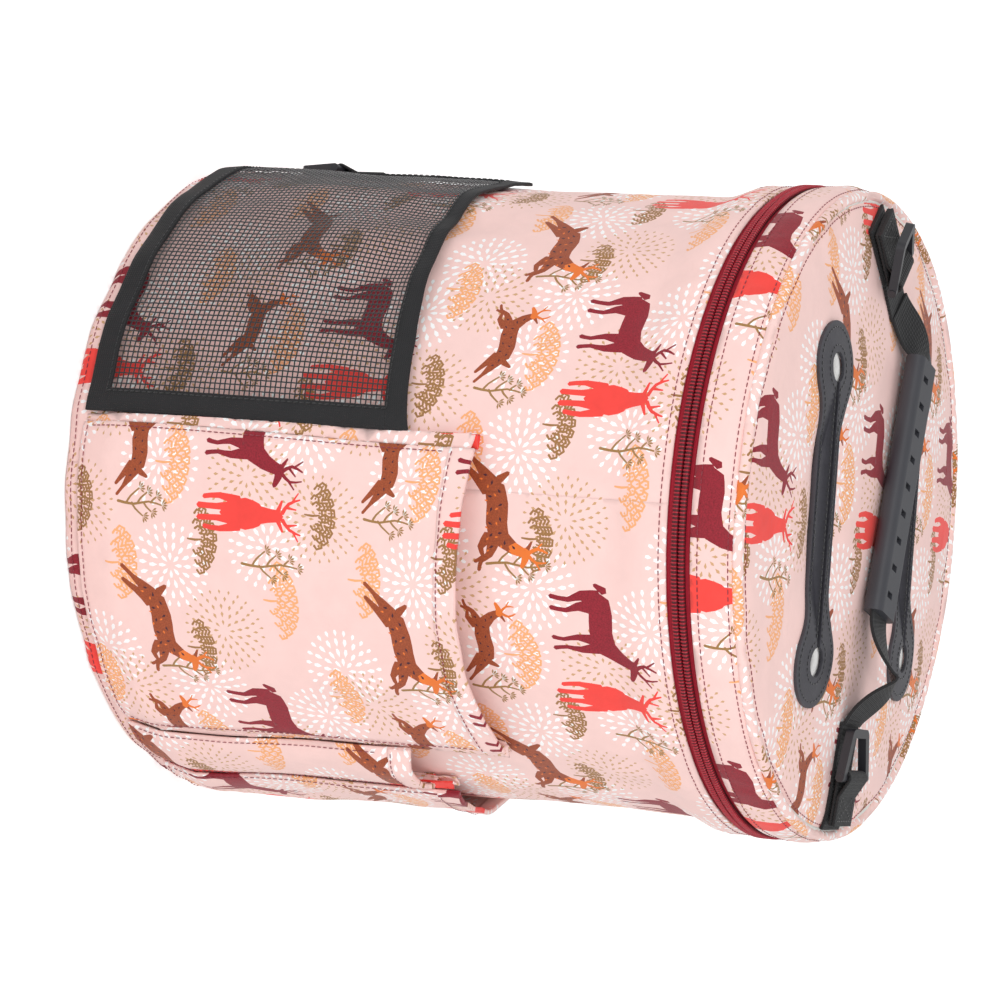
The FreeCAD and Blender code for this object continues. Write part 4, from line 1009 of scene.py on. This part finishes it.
def cut_lid_top(flat):
    """Cuts the flat cloth to the lid's round edge and to its slots, which the leather covers."""
    middle = LID_EDGE
    for side in (-1, 1):
        for offset in (-4.0, 4.0):
            everything = flat.verts[:] + flat.edges[:] + flat.faces[:]
            bmesh.ops.bisect_plane(flat, geom=everything, plane_co=(0, middle + side * SLOT_Y + offset, 0),
                                   plane_no=(0, 1, 0), dist=0.001)

    def gone(face):
        centre = face.calc_center_median()
        x, y = centre.x - middle, centre.y - middle
        in_slit = abs(abs(y) - SLOT_Y) < 4 and abs(x) < SLOT_X
        in_hole = math.hypot(abs(x) - SLOT_X, abs(y) - SLOT_Y) < HOLE + 2.5
        outside = all(math.hypot(v.co.x - middle, v.co.y - middle) > LID_EDGE for v in face.verts)
        return in_slit or in_hole or outside

    bmesh.ops.delete(flat, geom=[f for f in flat.faces if gone(f)], context="FACES")
    for vertex in flat.verts:
        x, y = vertex.co.x - middle, vertex.co.y - middle
        reach = math.hypot(x, y)
        if reach > LID_EDGE:
            vertex.co.x, vertex.co.y = middle + x * LID_EDGE / reach, middle + y * LID_EDGE / reach


lid_top = printed_panel("lid_top_cloth", "lid", 2 * LID_EDGE, 2 * LID_EDGE,
                        lambda s, t: lid_surface(s - LID_EDGE, t - LID_EDGE), (52, 76), 1.0, cut_lid_top)
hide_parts("lid_top_fabric")


def arc(x, y, radius, start, finish, steps):
    angles = [math.radians(start + (finish - start) * i / steps) for i in range(steps + 1)]
    return [(x + radius * math.cos(a), y + radius * math.sin(a)) for a in angles]


def slot_outline(side, end=HOLE, neck=1.3):
    """Outline of a slot: two round holes joined by a slit."""
    turn = math.degrees(math.asin(neck / end))
    right = arc(SLOT_X, 0, end, 180 + turn, 540 - turn, 22)
    left = arc(-SLOT_X, 0, end, turn, 360 - turn, 22)
    return [(x, y + side * SLOT_Y) for x, y in right + left]


def trim_outline(side, inset=0.0):
    """Outline of a slot's leather: rounded ends, and a neck that flows into them."""
    end, neck, blend = 22.0 - inset, 13.0 - inset, 40.0 + inset
    fillet_x = SLOT_X - math.sqrt((blend + end) ** 2 - (neck + blend) ** 2)
    lean = math.degrees(math.atan2(neck + blend, fillet_x - SLOT_X))
    corner = arc(fillet_x, neck + blend, blend, -90, lean - 180, 9)
    quarter = corner + arc(SLOT_X, 0, end, lean, 0, 16)[1:]
    upper = [(-x, y) for x, y in quarter[::-1]] + quarter
    whole = upper[::-1] + [(x, -y) for x, y in upper[1:-1]]
    return [(x, y + side * SLOT_Y) for x, y in whole]


def flat_shape(outer, holes, spacing):
    """Triangles that fill an outline, with holes."""
    points = [Vector(p) for p in outer]
    faces = [list(range(len(outer)))]
    for hole in holes:
        faces.append(list(range(len(points), len(points) + len(hole))))
        points += [Vector(p) for p in hole]
    xs, ys = [p[0] for p in outer], [p[1] for p in outer]
    for i in range(int((max(xs) - min(xs)) / spacing) + 1):
        for j in range(int((max(ys) - min(ys)) / spacing) + 1):
            points.append(Vector((min(xs) + (i + 0.5) * spacing, min(ys) + (j + 0.5) * spacing)))
    cut, _, triangles, _, _, sources = delaunay_2d_cdt(points, [], faces, 1, 1e-4)
    return cut, [t for t, s in zip(triangles, sources) if s == [0]]


def lid_sheet(name, outer, holes, depth, thickness, material, spacing=6.0):
    """A sheet that follows the lid's top at a depth below it."""
    points, triangles = flat_shape(outer, holes, spacing)
    used = sorted({i for t in triangles for i in t})
    number = {old: new for new, old in enumerate(used)}
    vertices = [Vector(lid_surface(points[i].x, points[i].y, -depth)) * MM for i in used]
    flat = [(points[i].x * MM, points[i].y * MM) for i in used]
    faces = [[number[i] for i in t] for t in triangles]
    return thicken(new_piece(name, vertices, faces, [material], "lid", flat), thickness)


# Foam under the cloth shows as a white edge inside the slots; the lining closes the lid's underside.
both_slots = [slot_outline(side) for side in (-1, 1)]
foam_slots = [slot_outline(side, HOLE - 0.6, 1.0) for side in (-1, 1)]
foam = lid_sheet("lid_foam_pad", arc(0, 0, 148.0, 0, 357, 119), foam_slots, 1.1, 4.9, FOAM)
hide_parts("lid_foam", "lid_skirt_foam")
LINING_EDGE = 152.5
lid_inside = lid_sheet("lid_lining_sheet", arc(0, 0, LINING_EDGE, 0, 357, 119), both_slots, 6.3, 0.9, LINING)
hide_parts("lid_lining")


# The side band, from the zip up to the rim, and the rolled seam where it meets the top.
SKIRT_LOW, SKIRT_HEIGHT, SKIRT_RADIUS = 333.5, 21.0, 159.5


def skirt_radius(angle, z):
    x, y = math.cos(angle), math.sin(angle)
    share = (z - SKIRT_LOW) / SKIRT_HEIGHT
    folds = 0.9 * noise.noise(Vector((x * 7, y * 7, z / 40 + 5)))
    folds += 0.5 * noise.noise(Vector((x * 24, y * 24, 1.0)))
    pinch = -1.6 * min(max((share - 0.72) / 0.28, 0.0), 1.0) ** 2
    return 160.2 - 1.2 * share + pinch + (1.5 + folds) * math.sin(math.pi * min(max(share, 0.0), 1.0))


def skirt_place(s, t):
    angle, z = s / SKIRT_RADIUS, SKIRT_LOW + t
    radius = skirt_radius(angle, z)
    return (radius * math.cos(angle), radius * math.sin(angle), z)


skirt_length = 2 * math.pi * SKIRT_RADIUS
skirt = printed_panel("lid_skirt_cloth", "lid", skirt_length, SKIRT_HEIGHT, skirt_place, (30, 92), 1.1)
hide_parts("lid_skirt")
skirt_inside = tube_sheet("lid_skirt_lining_sheet", "lid",
                          lambda a, z: skirt_radius(a, z) - CLOTH_THICKNESS, 333.8, 353.8,
                          LINING, 4.6, rows=6)
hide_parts("lid_skirt_lining")


ROLL_RADIUS, ROLL_WIDTH = 2.7, 15.2


def rim_place(s, t):
    """The rolled seam: t runs from under its outside up over it and inwards."""
    angle = s / RIM_RADIUS
    around = math.radians(-80) + t / ROLL_RADIUS
    radius = 156.7 + ROLL_RADIUS * math.cos(around)
    x, y = math.cos(angle), math.sin(angle)
    ripple = 0.88 * noise.noise(Vector((x * 3.2, y * 3.2, 6.0)))
    return (radius * x, radius * y, 355.4 + ripple + ROLL_RADIUS * math.sin(around))


rim = printed_panel("lid_rim_roll", "lid", 2 * math.pi * RIM_RADIUS, ROLL_WIDTH, rim_place, (12, 60), 0.6)
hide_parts("lid_piping")


def lid_circle(reach, height=None):
    """Path round the lid, on its top or on its side band at a height."""
    path = []
    for index in range(181):
        angle = math.radians(2 * index)
        x, y = math.cos(angle), math.sin(angle)
        if height is None:
            path.append((Vector(lid_surface(x * reach, y * reach, 0.15)) * MM, Vector((0, 0, 1))))
        else:
            radius = skirt_radius(angle, height) + 0.15
            path.append((Vector((x * radius, y * radius, height)) * MM, Vector((x, y, 0))))
    return path


seam("lid_top_stitching", "lid", lid_circle(151.8))
seam("lid_skirt_top_stitching", "lid", lid_circle(0, 351.6))
seam("lid_skirt_bottom_stitching", "lid", lid_circle(0, 337.2))


# Each slot is bound with one piece of charcoal leather, sewn 3 mm inside its edges.
def leather(name, code):
    """Embossed leather: a satin finish over cells 1.6 mm across, which is coarse enough to show, and
    creases about 8 mm long."""
    material, tree, shader = new_material(name)
    place = add(tree, "ShaderNodeTexCoord").outputs["Object"]
    cells = add(tree, "ShaderNodeTexVoronoi", {"Vector": place, "Scale": grain(1.61)},
                feature="DISTANCE_TO_EDGE")
    creases = add(tree, "ShaderNodeTexNoise", {"Vector": place, "Scale": grain(7.7), "Detail": 5.0})
    fine = add(tree, "ShaderNodeBump",
               {"Height": cells.outputs["Distance"], "Distance": 0.2 * MM, "Strength": 0.5})
    soft = add(tree, "ShaderNodeBump", {"Height": creases.outputs["Fac"], "Distance": 0.8 * MM,
                                        "Strength": 0.35, "Normal": fine.outputs["Normal"]})
    tree.links.new(mottled(tree, place, code, 0.12, 6.25), shader.inputs["Base Color"])
    tree.links.new(soft.outputs["Normal"], shader.inputs["Normal"])
    shader.inputs["Roughness"].default_value = 0.48
    return material


LEATHER = leather("leather_charcoal", "#3a3940")
LEATHER_STITCH = (2.2, 0.6, 0.5)


def on_leather(outline):
    return [(Vector(lid_surface(x, y, 1.8)) * MM, Vector((0, 0, 1))) for x, y in outline]


for label, side in (("front", -1), ("back", 1)):
    hole = slot_outline(side, HOLE - 0.2, 1.7)
    trim = lid_sheet(f"slot_leather_{label}", trim_outline(side), [hole], -1.7, 1.6, LEATHER, 4.0)
    soften(trim, 0.5, 3)
    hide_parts(f"slot_trim_{label}")
    for row, outline in (("edge", trim_outline(side, 3.0)), ("inner", slot_outline(side, HOLE + 3.0, 3.4))):
        seam(f"slot_{label}_{row}_stitching", "lid", on_leather(outline), True, BLACK_THREAD, 3.0,
             LEATHER_STITCH)


# ------------------------------------------------------------------ webbing, rings and handle

# Black polypropylene webbing, 25 mm wide. One end of each strap is sewn flat to the lid, a short tab
# of it holds each ring, and free straps run to the two ends of the grip.
WEBBING = cloth("webbing_black", "#1c1c1e", 0.1, 1.9, 0.7, 0.05)
WEBBING_WIDTH, WEBBING_THICKNESS = 25.0, 1.6


def ribbon(name, body, points, ups, width=WEBBING_WIDTH):
    """A closed flat strap along points in metres, with its outer face towards ups."""
    half, high = width / 2 * MM, WEBBING_THICKNESS / 2 * MM
    section = [(-half, -0.4 * high), (-half * 0.96, -high), (half * 0.96, -high), (half, -0.4 * high),
               (half, 0.4 * high), (half * 0.96, high), (0, high * 1.05), (-half * 0.96, high),
               (-half, 0.4 * high)]
    vertices, flat, faces = [], [], []
    run = 0.0
    for index, (point, up) in enumerate(zip(points, ups)):
        along = points[min(index + 1, len(points) - 1)] - points[max(index - 1, 0)]
        across = Vector(up).cross(along).normalized()
        upward = along.cross(across).normalized()
        run += (point - points[max(index - 1, 0)]).length
        for a, b in section:
            vertices.append(point + across * a + upward * b)
            flat.append((run, a))
    sides = len(section)
    for index in range(len(points) - 1):
        for side in range(sides):
            a, b = index * sides + side, index * sides + (side + 1) % sides
            faces.append((a, b, b + sides, a + sides))
    faces.append(tuple(range(sides))[::-1])
    faces.append(tuple(range(len(vertices) - sides, len(vertices))))
    piece = new_piece(name, vertices, faces, [WEBBING], body, flat, smooth=False)
    shape = bmesh.new()
    shape.from_mesh(piece.data)
    bmesh.ops.recalc_face_normals(shape, faces=shape.faces[:])
    shape.to_mesh(piece.data)
    shape.free()
    return piece


def heading(turn, climb=0.0):
    """Direction at a turn from +X and a climb from level, in degrees."""
    angle, rise = math.radians(turn), math.radians(climb)
    return Vector((math.cos(angle) * math.cos(rise), math.sin(angle) * math.cos(rise), math.sin(rise)))


def box_stitches(name, body, centre, along, out):
    """A sewn rectangle, 13 mm along the webbing and 19 mm across it, with a cross in it."""
    across = out.cross(along).normalized()
    corners = [centre + along * (a * 6.5 * MM) + across * (b * 9.5 * MM)
               for a, b in ((-1, -1), (1, -1), (1, 1), (-1, 1))]
    lines = [[(corners[a], out), (corners[b], out)]
             for a, b in ((0, 1), (1, 2), (2, 3), (3, 0), (0, 2), (1, 3))]
    return bead_row(name, body, lines, BLACK_THREAD, 2.6, (2.0, 0.6, 0.5))


RING_BAR = 2.1      # radius of the part of a ring that the webbing goes round


def folded_tab(name, body, bar, toward, out, length):
    """Webbing folded round a ring's bar, with both layers running towards where it is sewn."""
    turn = RING_BAR + 0.1 + WEBBING_THICKNESS / 2
    path, ups = [], []
    low = -turn
    for share in (1.0, 0.7, 0.4):
        path.append(bar + toward * (length * share * MM) + out * ((low + WEBBING_THICKNESS + 0.1) * MM))
        ups.append(out)
    for index in range(13):
        angle = math.radians(62 + 208 * index / 12)
        direction = toward * math.cos(angle) + out * math.sin(angle)
        path.append(bar + direction * (turn * MM))
        ups.append(direction)
    for share in (0.4, 0.7, 1.0):
        path.append(bar + toward * (length * share * MM) + out * (low * MM))
        ups.append(-out)
    return ribbon(name, body, path, ups)


# Each ring on the lid: the middle of its bar, the turn towards the lid's middle and its tab's length.
RING = plastic("ring_plastic_black", "#2b2b30", 0.4)
ANCHOR_LENGTH = 53.0
dome_centre = Vector((0, 0, (RIM_HEIGHT + DOME_RISE - DOME_RADIUS) * MM))
BARS = {
    "left": (Vector((-120.962, 10.749, 366.994)) * MM, 38.0, 30.0),
    "right": (Vector((127.242, -7.674, 366.455)) * MM, 177.0, 24.0),
}
for side, (bar, turn, length) in BARS.items():
    out = (bar - dome_centre).normalized()
    inward = heading(turn)
    inward = (inward - out * inward.dot(out)).normalized()
    tab = folded_tab(f"ring_tab_webbing_{side}", "lid", bar, -inward, out, length)
    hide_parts(f"ring_tab_{side}")
    rim_end = bar - inward * ((length + 2) * MM)
    points = []
    for index in range(15):
        spot = rim_end + inward * (ANCHOR_LENGTH * index / 14 * MM)
        points.append(Vector(lid_surface(spot.x / MM, spot.y / MM, 1.05)) * MM)
    strip = ribbon(f"anchor_webbing_{side}", "lid", points, [out] * len(points))
    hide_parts(f"anchor_{side}")
    box_stitches(f"ring_tab_{side}_stitching", "lid", bar - inward * ((length - 9) * MM) - out * (0.5 * MM),
                 inward, out)
    dress(f"d_ring_{side}", RING, 0.7)

# One more ring hangs low on the left, in a tab sewn to the wall.
low_bar = Vector((-162.483, 22.8355, 52.0)) * MM
low_out = Vector((low_bar.x, low_bar.y, 0)).normalized()
low_tab = folded_tab("ring_tab_webbing_low", "bag", low_bar, Vector((0, 0, 1)), low_out, 26.0)
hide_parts("ring_tab_low")
box_stitches("ring_tab_low_stitching", "bag", low_bar + Vector((0, 0, 17 * MM)) - low_out * (0.4 * MM),
             Vector((0, 0, 1)), low_out)
dress("d_ring_low", RING, 0.7)

# Free straps from the ends sewn to the lid up into the grip.
GRIP_MIDDLE, GRIP_TURN, GRIP_REACH = Vector((-15.5, 18.0, 372.0)), -17.0, 65.0
STRAP_WIDTH = 23.4


def bezier_path(curves, steps=16):
    """Points along curves, each of which has two ends and two handles."""
    points = []
    for number, (a, b, c, d) in enumerate(curves):
        for index in range(0 if number == 0 else 1, steps + 1):
            u = index / steps
            points.append(a * (1 - u) ** 3 + b * (3 * u * (1 - u) ** 2)
                          + c * (3 * u * u * (1 - u)) + d * u ** 3)
    return points


def strap(name, curves, twist):
    """A free strap that rolls by a twist in degrees about half way along."""
    points = [p * MM for p in bezier_path(curves)]
    ups = []
    for index, point in enumerate(points):
        along = points[min(index + 1, len(points) - 1)] - points[max(index - 1, 0)]
        share = index / (len(points) - 1)
        across = Vector((0, 0, 1)).cross(along).normalized()
        up = along.cross(across).normalized()
        roll = math.radians(twist) * math.sin(math.pi * share) ** 2
        ups.append(up * math.cos(roll) + across * math.sin(roll))
    piece = ribbon(name, None, points, ups, STRAP_WIDTH)
    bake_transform(piece)
    return piece


left_start, right_start = Vector((-105.55, 22.42, 363.3)), Vector((101.81, -6.34, 363.7))
left_grip = GRIP_MIDDLE - heading(GRIP_TURN) * GRIP_REACH
right_grip = GRIP_MIDDLE + heading(GRIP_TURN) * GRIP_REACH
left_strap = strap("strap_webbing_left", [
    [left_start, left_start + heading(38, 8) * 12, left_grip - heading(GRIP_TURN, 2) * 10, left_grip]],
    -8)
crest = (right_grip + right_start) * 0.5 + Vector((3, 6, 13))
right_strap = strap("strap_webbing_right", [
    [right_grip, right_grip + heading(GRIP_TURN, -4) * 9, crest - heading(0, 28) * 9, crest],
    [crest, crest + heading(0, 28) * 7, right_start + heading(177, 26) * 14, right_start]],
    24)
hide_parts("strap_left")
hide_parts("strap_right")

# The grip is moulded in dark grey rubber-like plastic, with nine short slots across its top.
GRIP = plastic("grip_rubber_grey", "#3b3c42", 0.5, 0.5)
dress("handle_grip", GRIP, 0.6)

# Plastic hoops keep both rims round, and a fibre board stiffens the base. None of them is seen.
WIRE = plastic("rim_wire_white", "#e8e6e0", 0.4)
for node in ("rim_wire_body", "rim_wire_lid"):
    dress(node, WIRE, 0)
dress("base_board", plastic("base_board_grey", "#b9b4a8", 0.8), 0)


# ------------------------------------------------------------------ floor and light

# The bag stands on a white sweep in even, soft light. The floor glows a little to the eye only, so that
# it is as white as the background.
floor_mesh = bpy.data.meshes.new("floor")
floor_mesh.from_pydata([(-6, -6, 0), (6, -6, 0), (6, 6, 0), (-6, 6, 0)], [], [(0, 1, 2, 3)])
floor_material, floor_tree, floor_shader = new_material("floor_white")
floor_shader.inputs["Base Color"].default_value = (0.95, 0.95, 0.95, 1)
floor_shader.inputs["Roughness"].default_value = 0.9
seen = add(floor_tree, "ShaderNodeLightPath").outputs["Is Camera Ray"]
glow = add(floor_tree, "ShaderNodeMath", {0: seen, 1: 0.5}, operation="MULTIPLY")
floor_shader.inputs["Emission Color"].default_value = (1, 1, 1, 1)
floor_tree.links.new(glow.outputs["Value"], floor_shader.inputs["Emission Strength"])
floor_mesh.materials.append(floor_material)
floor = bpy.data.objects.new("floor", floor_mesh)
bpy.context.scene.collection.objects.link(floor)

world = bpy.data.worlds.new("studio")
world.use_nodes = True
world.node_tree.nodes["Background"].inputs["Color"].default_value = (1, 1, 1, 1)
world.node_tree.nodes["Background"].inputs["Strength"].default_value = 0.7
bpy.context.scene.world = world
bpy.context.scene.view_settings.view_transform = "Standard"


def area_light(name, place, aim, size, power):
    data = bpy.data.lights.new(name, "AREA")
    data.size = size
    data.energy = power
    lamp = bpy.data.objects.new(name, data)
    bpy.context.scene.collection.objects.link(lamp)
    direction = Vector(aim) - Vector(place)
    lamp.rotation_euler = direction.to_track_quat("-Z", "Y").to_euler()
    lamp.location = place
    return lamp


area_light("key", (-0.45, -1.9, 1.55), (0, 0, 0.2), 0.6, 15)
area_light("fill", (1.8, -1.2, 1.2), (0, 0, 0.2), 1.6, 8)
